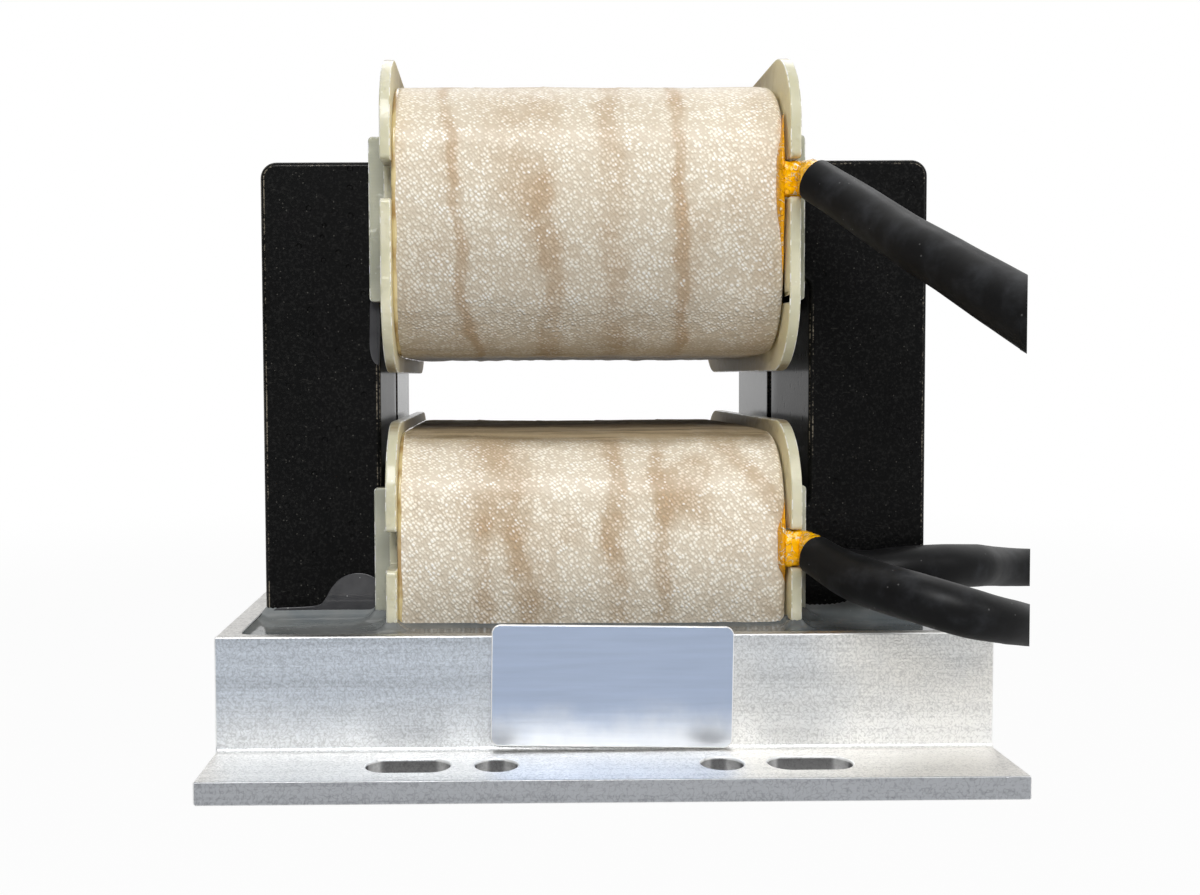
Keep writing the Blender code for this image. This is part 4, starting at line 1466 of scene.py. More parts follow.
@dataclass
class Former(Assembly):
    """A coil former: two end flanges on a tube of laminate plates."""

    level: Level
    notch_middle: float
    foot_corner: float
    corner: float = 0.018
    notch_height: float = 0.0086
    notch_back: float = 0.0502
    notch_chamfer: float = 0.0012
    opening: tuple[float, float] = (0.0485, 0.0195)
    edge: float = 0.0004
    plate_corner: float = 0.001

    @property
    def limb_z(self) -> float:
        """The height of the core's limb that the former sits on."""
        low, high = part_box(f"{self.level.value}_tube_front")
        return (low.z + high.z) / 2

    def flange_outline(self, low: Vector, high: Vector) -> list[Vector]:
        """A flange seen from its end, with the notch in its front edge.

        Args:
            low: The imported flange's lowest corner.
            high: Its highest corner.

        Returns:
            The outline's points.
        """
        notch_low = self.notch_middle - self.notch_height / 2
        notch_high = self.notch_middle + self.notch_height / 2
        return rounded((
            (low.y, low.z, self.foot_corner), (high.y, low.z, self.foot_corner),
            (high.y, high.z, self.corner), (low.y, high.z, self.corner),
            (low.y, notch_high, self.notch_chamfer), (-self.notch_back, notch_high, 0.0),
            (-self.notch_back, notch_low, 0.0), (low.y, notch_low, self.notch_chamfer),
        ), FLANGE_CORNER_STEPS)

    def build(self, palette: Palette) -> None:
        """Makes the flanges and the side plates, and dresses the plates inside the tube."""
        level = self.level.value
        half_y, half_z = self.opening
        middle = self.limb_z
        opening = rectangle((-half_y, middle - half_z), (half_y, middle + half_z))
        for hand in Hand:
            node = f"{level}_flange_{hand.value}"
            low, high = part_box(node)
            centre = ((low.x + high.x) / 2, 0.0, 0.0)
            outlines = [self.flange_outline(low, high), opening]
            mesh = edged(extruded(node, outlines, high.x - low.x, centre, FACING_X), self.edge)
            name = f"laminate_flange_{level}_{hand.value}"
            add_piece(name, mesh, palette.laminate, [node])
        for side in Side:
            node = f"{level}_tube_{side.value}"
            low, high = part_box(node)
            outline = rectangle((low.x, low.z), (high.x, high.z), self.plate_corner)
            centre = (0.0, (low.y + high.y) / 2, 0.0)
            mesh = edged(extruded(node, [outline], high.y - low.y, centre, FACING_Y), self.edge)
            add_piece(f"laminate_plate_{level}_{side.value}", mesh, palette.plates, [node])
        for plate in ("top", "bottom"):
            dress_node(f"{level}_tube_{plate}", palette.laminate)


@dataclass
class Coil(Assembly):
    """A coil's wraps: film over the winding, and resin-soaked glass tape over the film.

    belly is how much the sides bulge, and barrel how much less far the corners reach across and up.
    The last turn of tape ends at seam_z on the front, where the coil shows its end.
    """

    level: Level
    seam_z: Optional[float]
    top_corner: float = 0.016
    bottom_corner: float = 0.015
    cloth_thickness: float = 0.0018
    film_thickness: float = 0.0005
    film_gap: float = 0.0001
    film_end: float = 0.0004
    end_reach: float = 0.0008
    step: float = 0.00085
    film_step: float = 0.0016
    tape_pitch: float = 0.0176
    tape_edge: float = 0.00014
    swell: float = 0.00040
    belly: float = 0.020
    barrel: tuple[float, float] = (0.050, 0.010)
    seam_step: float = 0.00006
    seam_ridge: float = 0.00010
    ridge_width: float = 0.0007
    end_rounding: tuple[float, float] = (0.0006, 0.0034)
    film_rounding: tuple[float, float] = (0.0001, 0.0001)
    inner_steps: int = 8
    arc_steps: int = 7
    bead_radius: float = 0.0007
    bead_sides: int = 8
    bead_inset: float = 0.0002

    def section(self, step: float) -> list[tuple[Vector, Vector]]:
        """The cloth's section: a rounded rectangle whose sides belly out a little.

        Args:
            step: The distance between points.

        Returns:
            (point, direction that the surface faces) pairs in the YZ plane, counter-clockwise.
        """
        low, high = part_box(f"{self.level.value}_cloth_wrap")
        half_y, half_z = (high.y - low.y) / 2, (high.z - low.z) / 2
        middle_z = (low.z + high.z) / 2
        top, bottom = self.top_corner, self.bottom_corner
        corners = (
            (half_y - top, half_z - top, top, 0.0),
            (top - half_y, half_z - top, top, math.pi / 2),
            (bottom - half_y, bottom - half_z, bottom, math.pi),
            (half_y - bottom, bottom - half_z, bottom, 3 * math.pi / 2),
        )
        outline = []
        for index, (y, z, radius, start) in enumerate(corners):
            turns = max(4, round(radius * math.pi / 2 / step))
            for turn in range(turns + 1):
                angle = start + math.pi / 2 * turn / turns
                outline.append(Vector((y + radius * math.cos(angle), z + radius * math.sin(angle))))
            y, z, radius, start = corners[(index + 1) % len(corners)]
            finish = Vector((y + radius * math.cos(start), z + radius * math.sin(start)))
            leave = outline[-1]
            count = max(1, round((finish - leave).length / step))
            outline += [leave.lerp(finish, turn / count) for turn in range(1, count)]
        shaped = []
        for y, z in outline:
            wide = 1 + self.belly - self.barrel[0] * (z / half_z) ** 2
            tall = 1 - self.barrel[1] * (y / half_y) ** 2
            shaped.append(Vector((0.0, y * min(wide, 1 + self.belly), middle_z + z * tall)))
        around = []
        for index, point in enumerate(shaped):
            run = shaped[(index + 1) % len(shaped)] - shaped[index - 1]
            around.append((point, Vector((0.0, run.z, -run.y)).normalized()))
        return around

    def relief(self, point: Vector, direction: Vector, start: float, end: float) -> float:
        """How far the tape stands proud: swelling, the turns' edges and small creases.

        Args:
            point: A point on the cloth.
            direction: What the cloth faces there.
            start: The cloth's left end.
            end: Its right end.

        Returns:
            The height above the plain section.
        """
        raised = self.swell * rough(point, 21.0, 3.0) + 0.00012 * rough(point, 110.0, 7.0)
        raised += 0.00005 * rough(point, 420.0, 1.0)
        along = (point.x - start + 0.0022 * rough(point, 24.0, 11.0)) / self.tape_pitch
        share = along - math.floor(along)
        raised += self.tape_edge * (math.exp(-share / 0.10) - 0.4 * math.exp(-(1 - share) / 0.05))
        if direction.z < -0.3:
            raised += 0.00030 * rough(Vector((point.x * 2.4, point.y * 0.5, point.z)), 130.0, 8.0)
        if self.seam_z is not None and direction.y < -0.5:
            wander = 0.0006 * rough(point, 45.0, 5.0)
            raised -= self.seam_step * ramp(self.seam_z + wander - point.z, -0.0002, 0.0003)
            ridge = (point.z - self.seam_z - wander - 0.0006) / self.ridge_width
            raised += self.seam_ridge * math.exp(-ridge * ridge)
        fade = ramp(point.x - start, 0.0, 0.002) * ramp(end - point.x, -0.0004, 0.0015)
        return raised * fade

    def ring(self, name: str, ends: tuple[float, float], depth: float, thickness: float, step: float,
             rounding: tuple[float, float],
             relief: Callable[[Vector, Vector, float, float], float]) -> bpy.types.Mesh:
        """Makes a closed band round the coil.

        Args:
            name: The mesh's name.
            ends: The band's two ends along X.
            depth: How far the band's outer face lies under the cloth's.
            thickness: The band's thickness.
            step: The distance between its points.
            rounding: How far the left and the right end are rounded along X.
            relief: How far the outer face stands proud at a point.

        Returns:
            The band's mesh.
        """
        left, right = ends
        left_round, right_round = rounding
        inner, arc = self.inner_steps, self.arc_steps
        profile = [(left + (right - left) * i / inner, -thickness) for i in range(inner + 1)]
        drop = thickness * 0.94
        for index in range(arc):
            angle = math.pi / 2 * index / arc
            profile.append((right - right_round * (1 - math.cos(angle)), -drop * (1 - math.sin(angle))))
        count = round((right - left - left_round - right_round) / step)
        first, last = right - right_round, left + left_round
        profile += [(first + (last - first) * i / count, 0.0) for i in range(count + 1)]
        for index in range(1, arc + 1):
            angle = math.pi / 2 * (1 - index / arc)
            profile.append((left + left_round * (1 - math.cos(angle)), -drop * (1 - math.sin(angle))))
        around = self.section(step)
        points = []
        for point, direction in around:
            for x, offset in profile:
                spot = Vector((x, point.y, point.z)) + direction * (offset - depth)
                if offset > -thickness:
                    spot += direction * relief(spot, direction, left, right)
                points.append(spot)
        return mesh_of(name, points, ring_faces(len(around), len(profile), closed=True), 60.0)

    @staticmethod
    def crinkle(point: Vector, direction: Vector, start: float, end: float) -> float:
        """The film's small creases."""
        return 0.00010 * rough(point, 300.0, 2.0) + 0.00005 * rough(point, 900.0, 9.0)

    def bead(self, x: float) -> bpy.types.Mesh:
        """The bead of set resin where the tape meets the left flange.

        Args:
            x: Where it lies along X.

        Returns:
            The bead's mesh.
        """
        points = []
        around = self.section(self.step)
        for point, direction in around:
            centre = Vector((x, point.y, point.z)) - direction * self.bead_radius * 0.75
            radius = self.bead_radius * (1.0 + 0.30 * rough(centre, 130.0, 4.0))
            for side in range(self.bead_sides):
                angle = 2 * math.pi * side / self.bead_sides
                points.append(centre + (ALONG_X * math.cos(angle) + direction * math.sin(angle)) * radius)
        return mesh_of("bead", points, ring_faces(len(around), self.bead_sides, closed=True), 80.0)

    def build(self, palette: Palette) -> None:
        """Makes the two wraps and the resin bead, and dresses the winding inside them."""
        level = self.level.value
        low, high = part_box(f"{level}_cloth_wrap")
        ends = (low.x, high.x + self.end_reach)
        cloth = self.ring("cloth", ends, 0.0, self.cloth_thickness, self.step, self.end_rounding,
                          self.relief)
        finish = palette.cloth[self.level]
        add_piece(f"glass_tape_{level}", cloth, finish, [f"{level}_cloth_wrap"])
        ends = (low.x, high.x + self.film_end)
        depth = self.cloth_thickness + self.film_gap
        film = self.ring("film", ends, depth, self.film_thickness, self.film_step, self.film_rounding,
                         self.crinkle)
        add_piece(f"amber_wrap_{level}", film, palette.painted_shade_film, [f"{level}_film_wrap"])
        bead = self.bead(low.x + self.bead_inset)
        add_piece(f"resin_bead_{level}", bead, palette.resin)
        dress_node(f"{level}_winding", palette.litz)


@dataclass
class Section:
    """One station of a crumpled film: where it is, how it is turned, and its half sizes."""

    centre: Vector
    across: Vector
    along: Vector
    half_across: float
    half_along: float


def crumpled(name: str, sections: Sequence[Section], squareness: float, crease: float,
             seed: float) -> bpy.types.Mesh:
    """A crumpled film tube through sections.

    Args:
        name: The mesh's name.
        sections: The stations along the tube.
        squareness: The power of the section's superellipse: 2 is round.
        crease: The depth of the creases.
        seed: What sets this tube's creases apart.

    Returns:
        The tube's mesh.
    """
    rings = []
    for section in sections:
        ring = []
        for side in range(FILM_SIDES):
            angle = 2 * math.pi * side / FILM_SIDES
            cosine, sine = math.cos(angle), math.sin(angle)
            a = math.copysign(abs(cosine) ** (2 / squareness), cosine) * section.half_across
            b = math.copysign(abs(sine) ** (2 / squareness), sine) * section.half_along
            outward = section.across * a + section.along * b
            spot = section.centre + outward
            where = Vector((spot.x + seed, spot.y, spot.z)) * 420.0
            nearest = noise.voronoi(where, distance_metric="DISTANCE", exponent=2.5)[0]
            fold = (nearest[1] - nearest[0]) - 0.35
            fold += 0.8 * noise.noise(where * 0.55)
            ring.append(spot + outward.normalized() * fold * crease)
        rings.append(ring)
    return lofted(name, rings, 28.0)


@dataclass
class Lead(Assembly):
    """A sleeved lead with the film-wrapped cable end that joins it to its coil.

    girths holds the sleeve's diameter at shares of its length, cut_back how far before the route's
    end its far end is cut, and film_reach how far loose film spreads up and down from the notch.
    """

    name: str
    level: Level
    route: tuple[tuple[float, float, float], ...]
    cable_y: float
    notch_middle: float
    girths: tuple[tuple[float, float], ...]
    cut_back: float
    film_reach: tuple[float, float]
    seed: float
    diameter: float = 0.0103
    ring_step: float = 0.0013
    over_length: float = 0.012
    sharp: float = 50.0
    wall: float = 0.0008
    mouth_depth: float = 0.0026
    cut_depth: float = 0.0012
    strand_gap: float = 0.0012
    film_steps: int = 50
    film_crease: float = 0.00055
    flap_steps: int = 44
    flap_crease: float = 0.00016
    flap_y: tuple[float, float] = (-0.0562, -0.0510)
    half_film: tuple[float, float] = (0.0023, 0.0041)
    half_film_mouth: tuple[float, float] = (0.0031, 0.0038)

    def line(self) -> list[Vector]:
        """Points on one smooth curve through the route's own points.

        Returns:
            The sleeve's middle line.
        """
        points = [Vector(point) for point in self.route]
        ends = [2 * points[0] - points[1]] + points + [2 * points[-1] - points[-2]]
        line = [points[0]]
        for four in zip(ends, ends[1:], ends[2:], ends[3:]):
            count = max(1, round((four[2] - four[1]).length / self.ring_step))
            line += [curve_point(*four, index / count) for index in range(1, count + 1)]
        return line

    def girth(self, share: float) -> float:
        """The sleeve's diameter at a place.

        Args:
            share: The place, as a share of the sleeve's length.

        Returns:
            The diameter.
        """
        for (start, first), (end, second) in zip(self.girths, self.girths[1:]):
            if share <= end:
                return first + (second - first) * ramp(share, start, end)
        return self.girths[-1][1]

    def tube(self, line: Sequence[Vector], inside: float) -> bpy.types.Mesh:
        """A tube along the line and on past its end, to be cut.

        Args:
            line: The sleeve's middle line.
            inside: How far the tube's skin lies inside the sleeve's.

        Returns:
            The tube's mesh.
        """
        run = (line[-1] - line[-2]).normalized()
        extra = round(self.over_length / self.ring_step)
        stations = list(line) + [line[-1] + run * self.ring_step * (index + 1) for index in range(extra)]
        rings = []
        for index, centre in enumerate(stations):
            run = (stations[min(index + 1, len(stations) - 1)] - stations[max(index - 1, 0)]).normalized()
            across = run.cross(UP).normalized()
            rise = across.cross(run)
            radius = self.girth(index / (len(line) - 1)) / 2 - inside
            ring = []
            for side in range(SLEEVE_SIDES):
                angle = 2 * math.pi * side / SLEEVE_SIDES
                outward = across * math.cos(angle) + rise * math.sin(angle)
                spot = centre + outward * radius
                swell = 0.00016 * rough(spot, 60.0, self.seed) + 0.00004 * rough(spot, 300.0, self.seed)
                if index == 0:
                    spot -= run * 0.0005 * (rough(spot, 160.0, self.seed) + 0.3)
                ring.append(spot + outward * swell)
            rings.append(ring)
        middle = centre_of(rings[0])
        back = (rings[1][0] - rings[0][0]) * 0.12
        lip = [point + (middle - point) * 0.05 - back for point in rings[0]]
        return lofted(self.name, [lip] + rings, self.sharp)

    def cut_plane(self, line: Sequence[Vector]) -> tuple[Vector, Vector]:
        """Where the far end is cut, square to the picture.

        Args:
            line: The sleeve's middle line.

        Returns:
            A point of the cut, and what the cut faces.
        """
        place = line[-1] - (line[-1] - line[-2]).normalized() * self.cut_back
        sight = place - EYE
        return place, Vector((sight.y, -sight.x, 0.0)).normalized()

    @staticmethod
    def trim(body: bmesh.types.BMesh, place: Vector, facing: Vector) -> None:
        """Cuts off what lies past a plane, and closes the cut.

        Args:
            body: What is cut.
            place: A point of the plane.
            facing: The direction of what is cut off.
        """
        whole = body.verts[:] + body.edges[:] + body.faces[:]
        bmesh.ops.bisect_plane(body, geom=whole, plane_co=place, plane_no=facing, clear_outer=True)
        bmesh.ops.holes_fill(body, edges=[edge for edge in body.edges if edge.is_boundary])

    def sleeve(self, line: Sequence[Vector]) -> bpy.types.Mesh:
        """The sleeve: open at its mouth, and cut off straight with the cable at its far end.

        Args:
            line: Its middle line.

        Returns:
            The sleeve's mesh.
        """
        mesh = self.tube(line, 0.0)
        with opened(mesh) as body:
            self.trim(body, *self.cut_plane(line))
            bmesh.ops.recalc_face_normals(body, faces=body.faces)
            large = [face for face in body.faces if len(face.verts) > 8]
            ends = sorted(large, key=lambda face: face.calc_area())
            ends = sorted(ends[-2:], key=lambda face: (face.calc_center_median() - line[0]).length)
            for end, depth in zip(ends, (self.mouth_depth, self.cut_depth)):
                bmesh.ops.inset_region(body, faces=[end], thickness=self.wall, depth=-depth,
                                       use_even_offset=True)
        return smoothed(mesh, self.sharp)

    def strands(self, line: Sequence[Vector]) -> bpy.types.Mesh:
        """The cable's own end, a little back from the sleeve's.

        Args:
            line: The sleeve's middle line.

        Returns:
            The cable end's mesh.
        """
        mesh = self.tube(line, self.strand_gap)
        place, facing = self.cut_plane(line)
        run = (line[-1] - line[-2]).normalized()
        with opened(mesh) as body:
            self.trim(body, place - facing * self.cut_depth * 0.35, facing)
            self.trim(body, place - run * self.over_length, -run)
            bmesh.ops.recalc_face_normals(body, faces=body.faces)
        return smoothed(mesh, self.sharp)

    def film_sections(self, line: Sequence[Vector]) -> list[Section]:
        """The film from the coil's end through the notch into the sleeve's mouth.

        Args:
            line: The sleeve's middle line.

        Returns:
            The film's stations.
        """
        flange_low, flange_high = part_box(f"{self.level.value}_flange_right")
        start = Vector((flange_low.x - 0.0012, self.cable_y, self.notch_middle))
        outside = Vector((flange_high.x - 0.0004, self.cable_y, self.notch_middle))
        arriving = (line[1] - line[0]).normalized()
        end = line[0] + arriving * self.mouth_depth * 0.8
        reach = (end - outside).length
        sections = []
        for step in range(self.film_steps):
            share = step / (self.film_steps - 1)
            if share < 0.25:
                place = start.lerp(outside, share / 0.25)
                run = ALONG_X
            else:
                t = (share - 0.25) / 0.75
                place = ((2 * t ** 3 - 3 * t ** 2 + 1) * outside
                         + (t ** 3 - 2 * t ** 2 + t) * ALONG_X * reach
                         + (3 * t ** 2 - 2 * t ** 3) * end + (t ** 3 - t ** 2) * arriving * reach)
                run = ((6 * t ** 2 - 6 * t) * outside + (3 * t ** 2 - 4 * t + 1) * ALONG_X * reach
                       + (6 * t - 6 * t ** 2) * end + (3 * t ** 2 - 2 * t) * arriving * reach).normalized()
            across = UP.cross(run).normalized()
            open_out = ramp(share, 0.30, 0.85)
            close_in = ramp(share, 0.88, 0.96)
            half_across, half_along = (
                narrow + (wide * 1.12 - narrow) * open_out - wide * 0.18 * close_in
                for narrow, wide in zip(self.half_film, self.half_film_mouth)
            )
            sections.append(Section(place, across, run.cross(across), half_across, half_along))
        return sections

    def flap_sections(self) -> list[Section]:
        """The loose film that spreads up and down between the coil's end and the flange.

        Returns:
            The film's stations.
        """
        low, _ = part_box(f"{self.level.value}_flange_right")
        rise, drop = self.film_reach
        front, back = self.flap_y
        sections = []
        for step in range(self.flap_steps):
            share = step / (self.flap_steps - 1)
            z = self.notch_middle + rise - (rise + drop) * share
            off = z - self.notch_middle
            reach = rise if off > 0 else drop
            near = 1 - ramp(abs(off), 0.0035, reach * 0.8)
            taper = ramp(1 - abs(off) / reach, -0.05, 0.30)
            forward = front - 0.0026 * near
            half_x = (0.00032 + 0.00075 * near) * taper
            centre = Vector((low.x - 0.00045 - half_x, (forward + back) / 2, z))
            half_y = (back - forward) / 2 * (0.4 + 0.6 * taper)
            sections.append(Section(centre, ALONG_X, ALONG_Y, half_x, half_y))
        return sections

    def build(self, palette: Palette) -> None:
        line = self.line()
        sleeve = add_piece(f"sleeve_{self.name}", self.sleeve(line), palette.sleeve,
                           [f"{self.name}_lead"])
        strands = add_piece(f"strand_end_{self.name}", self.strands(line), palette.litz)
        tail = crumpled("tail", self.film_sections(line), 3.0, self.film_crease, self.seed)
        add_piece(f"film_tail_{self.name}", tail, palette.film, [f"{self.name}_cable_end"])
        if self.film_reach[0] > 0.0:
            flap = crumpled("flap", self.flap_sections(), 2.4, self.flap_crease, self.seed + 0.3)
            add_piece(f"film_flap_{self.name}", flap, palette.painted_shade_film)


@dataclass
class Obstacle:
    """What stands in the potting compound, and how high the compound has crept up it."""

    low: tuple[float, float]
    high: tuple[float, float]
    creep: float
    spread: float

    def holds(self, x: float, y: float, margin: float) -> bool:
        """Whether a place lies under it, or less than a margin beside it."""
        return (self.low[0] - margin < x < self.high[0] + margin
                and self.low[1] - margin < y < self.high[1] + margin)

    def rise(self, x: float, y: float) -> float:
        """The compound's rise at a place beside it.

        Args:
            x: Where the place is along X.
            y: Where it is along Y.

        Returns:
            The height above the level surface.
        """
        dx = max(self.low[0] - x, 0.0, x - self.high[0])
        dy = max(self.low[1] - y, 0.0, y - self.high[1])
        return self.creep * math.exp(-math.hypot(dx, dy) / self.spread)


@dataclass
class Potting(Assembly):
    """The potting compound's surface, with a meniscus at everything it touches."""

    level: float = 0.0286
    corner: float = 0.0027
    grid: float = 0.0006
    bite: float = 0.0004
    skin: float = 0.0001
    wall_creep: float = 0.0011
    wall_spread: float = 0.0012
    peak_x: float = 0.0633
    peak_height: float = 0.0014
    peak_width: float = 0.0042
    peak_front: float = -0.0449
    peak_fade: float = 0.0022
    swirl: float = 0.00010

    def obstacles(self) -> list[Obstacle]:
        """The core, the lower coil, its flanges and its tube's side plates.

        Returns:
            What stands in the compound.
        """
        core_low, core_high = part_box("core_front_left")[0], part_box("core_rear_right")[1]
        found = [Obstacle((core_low.x, core_low.y), (core_high.x, core_high.y), 0.0027, 0.0013)]
        coil_low, coil_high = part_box("lower_cloth_wrap")
        film_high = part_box("lower_film_wrap")[1]
        found.append(Obstacle((coil_low.x, coil_low.y), (film_high.x, coil_high.y), 0.0016, 0.0012))
        for hand in Hand:
            low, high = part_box(f"lower_flange_{hand.value}")
            found.append(Obstacle((low.x, low.y), (high.x, high.y), 0.0020, 0.0012))
        for side in Side:
            low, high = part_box(f"lower_tube_{side.value}")
            found.append(Obstacle((low.x, low.y), (high.x, high.y), 0.0026, 0.0014))
        return found

    def footprint(self) -> list[Vector]:
        """One outline round everything that stands in the compound, a bite inside its faces.

        Returns:
            The outline's points.
        """
        bite = self.bite
        core, coil, left, right, plate = (
            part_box("core_front_right")[1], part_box("lower_cloth_wrap")[0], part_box("lower_flange_left"),
            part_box("lower_flange_right"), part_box("lower_tube_front"),
        )
        core_x = core.x - bite
        core_y = -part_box("core_front_right")[0].y - bite
        coil_y = -coil.y - bite
        flange_y = -left[0].y - bite
        plate_y = -plate[0].y - bite
        front = [
            (core_x, core_y), (plate[1].x - bite, core_y), (plate[1].x - bite, plate_y),
            (right[1].x - bite, plate_y), (right[1].x - bite, flange_y), (right[0].x + bite, flange_y),
            (right[0].x + bite, coil_y), (left[1].x - bite, coil_y), (left[1].x - bite, flange_y),
            (left[0].x + bite, flange_y), (left[0].x + bite, plate_y), (plate[0].x + bite, plate_y),
            (plate[0].x + bite, core_y), (-core_x, core_y),
        ]
        return [Vector(point) for point in front] + [Vector((x, -y)) for x, y in reversed(front)]

    def spaced(self, outline: Sequence[Vector]) -> list[Vector]:
        """Puts points into an outline, so that they are no further apart than the grid.

        Args:
            outline: The outline's corners.

        Returns:
            The outline's points.
        """
        made = []
        for index, start in enumerate(outline):
            end = outline[(index + 1) % len(outline)]
            count = max(1, math.ceil((end - start).length / self.grid))
            made += [start.lerp(end, step / count) for step in range(count)]
        return made

    def height(self, x: float, y: float, obstacles: Sequence[Obstacle], reach: Vector) -> float:
        """The surface's height at a place.

        Args:
            x: Where the place is along X.
            y: Where it is along Y.
            obstacles: What stands in the compound.
            reach: How far the cavity reaches from the middle.

        Returns:
            The height above the floor.
        """
        total = sum(obstacle.rise(x, y) ** 3 for obstacle in obstacles)
        edge = min(reach.x - abs(x), reach.y - abs(y))
        total += (self.wall_creep * math.exp(-max(edge, 0.0) / self.wall_spread)) ** 3
        off = (x - self.peak_x) / self.peak_width
        front = math.exp(-max(0.0, self.peak_front - y) / self.peak_fade) if y < 0 else 0.0
        lift = self.peak_height * math.exp(-off * off) * front
        swirl = self.swirl * rough(Vector((x, y, 0.0)), 55.0, 6.0)
        return self.level + self.skin + total ** (1 / 3) + lift + abs(swirl)

    def build(self, palette: Palette) -> None:
        """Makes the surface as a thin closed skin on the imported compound."""
        low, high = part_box("potting_compound")
        border = self.spaced(rectangle((low.x, low.y), (high.x, high.y), self.corner))
        inner = self.spaced(self.footprint())
        points = border + inner
        edges = [(i, (i + 1) % len(border)) for i in range(len(border))]
        edges += [(len(border) + i, len(border) + (i + 1) % len(inner)) for i in range(len(inner))]
        columns = int((high.x - low.x) / self.grid)
        rows = int((high.y - low.y) / self.grid)
        keep_off = self.grid * 0.5
        obstacles = self.obstacles()
        for column in range(1, columns):
            x = low.x + (high.x - low.x) * column / columns
            for row in range(1, rows):
                y = low.y + (high.y - low.y) * (row + 0.5 * (column % 2)) / rows
                if y < high.y - keep_off and not self.covered(x, y, keep_off, obstacles):
                    points.append(Vector((x, y)))
        flat, _, triangles, *_ = geometry.delaunay_2d_cdt(points, edges, [], 0, 1e-7)
        reach = Vector((high.x, high.y))
        shown = [
            face for face in triangles
            if self.in_view([flat[index] for index in face], obstacles, reach)
        ]
        top = [Vector((p.x, p.y, self.height(p.x, p.y, obstacles, reach))) for p in flat]
        bottom = [Vector((p.x, p.y, self.level - self.skin)) for p in flat]
        mesh = self.closed(top, bottom, shown)
        add_piece("potting_surface", mesh, palette.potting)
        dress_node("potting_compound", palette.potting)

    def covered(self, x: float, y: float, margin: float, obstacles: Sequence[Obstacle]) -> bool:
        """Whether a place is under something that stands in the compound, or next to its edge."""
        return any(obstacle.holds(x, y, margin - self.bite) for obstacle in obstacles)

    def in_view(self, corners: Sequence[Vector], obstacles: Sequence[Obstacle], reach: Vector) -> bool:
        """Whether a triangle is open to view.

        Args:
            corners: The triangle's corners.
            obstacles: What stands in the compound.
            reach: How far the cavity reaches from the middle.

        Returns:
            Whether it lies beside the obstacles and inside the cavity's rounded corners.
        """
        centre = sum(corners, Vector((0.0, 0.0))) / len(corners)
        dx = abs(centre.x) - (reach.x - self.corner)
        dy = abs(centre.y) - (reach.y - self.corner)
        in_cavity = dx <= 0 or dy <= 0 or math.hypot(dx, dy) < self.corner
        return in_cavity and not self.covered(centre.x, centre.y, 0.0, obstacles)

    @staticmethod
    def closed(top: Sequence[Vector], bottom: Sequence[Vector],
               shown: Sequence[Sequence[int]]) -> bpy.types.Mesh:
        """Joins a top and a bottom sheet with walls along their open edges.

        Args:
            top: The top sheet's points.
            bottom: The bottom sheet's points, in the same order.
            shown: The numbers of the points of the top sheet's faces.

        Returns:
            The closed mesh.
        """
        count = len(top)
        faces = [tuple(face) for face in shown]
        faces += [tuple(index + count for index in reversed(face)) for face in shown]
        runs = {run: None for face in shown for run in zip(face, (*face[1:], face[0]))}
        open_runs = [(start, end) for start, end in runs if (end, start) not in runs]
        faces += [(end, start, start + count, end + count) for start, end in open_runs]
        mesh = mesh_of("potting", [*top, *bottom], faces, 55.0)
        with opened(mesh) as body:
            loose = [vert for vert in body.verts if not vert.link_faces]
            bmesh.ops.delete(body, geom=loose, context="VERTS")
        return mesh


@dataclass
class Smears(Assembly):
    """Potting compound that has been smeared and has run on the left post's front face."""

    thickness: float = 0.0005
    edge: float = 0.0002
    sunk: float = 0.0001
    curve_steps: int = 5
    dome: tuple[tuple[float, float], ...] = (
        (-0.0515, 0.0290), (-0.0512, 0.0372), (-0.0530, 0.0386), (-0.0556, 0.0395), (-0.0583, 0.0394),
        (-0.0610, 0.0383), (-0.0631, 0.0362), (-0.0646, 0.0336), (-0.0660, 0.0321), (-0.0690, 0.0316),
        (-0.0730, 0.0314), (-0.0765, 0.0311), (-0.0776, 0.0290),
    )
    run: tuple[tuple[float, float], ...] = (
        (-0.0511, 0.1045), (-0.0531, 0.1045), (-0.0534, 0.0985), (-0.0535, 0.0935), (-0.0529, 0.0905),
        (-0.0518, 0.0893), (-0.0511, 0.0905),
    )

    def smooth_outline(self, points: Sequence[tuple[float, float]]) -> list[Vector]:
        """A closed outline curved through a few points.

        Args:
            points: The points.

        Returns:
            The outline's points.
        """
        made = []
        count = len(points)
        for index in range(count):
            four = [Vector(points[(index + off) % count]) for off in (-1, 0, 1, 2)]
            made += [curve_point(*four, step / self.curve_steps) for step in range(self.curve_steps)]
        return made

    def build(self, palette: Palette) -> None:
        """Makes the smear and the run."""
        face_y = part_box("core_front_left")[0].y
        for name, points in (("potting_smear", self.dome), ("potting_run", self.run)):
            centre = (0.0, face_y - self.thickness / 2 + self.sunk, 0.0)
            mesh = extruded(name, [self.smooth_outline(points)], self.thickness, centre, FACING_Y)
            add_piece(name, edged(mesh, self.edge), palette.smear)


@dataclass
class RatingPlate(Assembly):
    """The bare rating plate, glued on a little out of true."""

    length: float = 0.0527
    height: float = 0.0267
    thickness: float = 0.0008
    corner: float = 0.002
    tilt: float = math.radians(0.9)
    edge: float = 0.00035
    edge_segments: int = 2

    def build(self, palette: Palette) -> None:
        """Makes the plate."""
        low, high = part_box("rating_plate")
        half_x, half_z = self.length / 2, self.height / 2
        outline = rectangle((-half_x, -half_z), (half_x, half_z), self.corner)
        mesh = extruded("plate", [outline], self.thickness, (low + high) / 2, (math.pi / 2, self.tilt, 0.0))
        mesh = edged(mesh, self.edge, self.edge_segments)
        add_piece("bare_plate", mesh, palette.plate, ["rating_plate"])


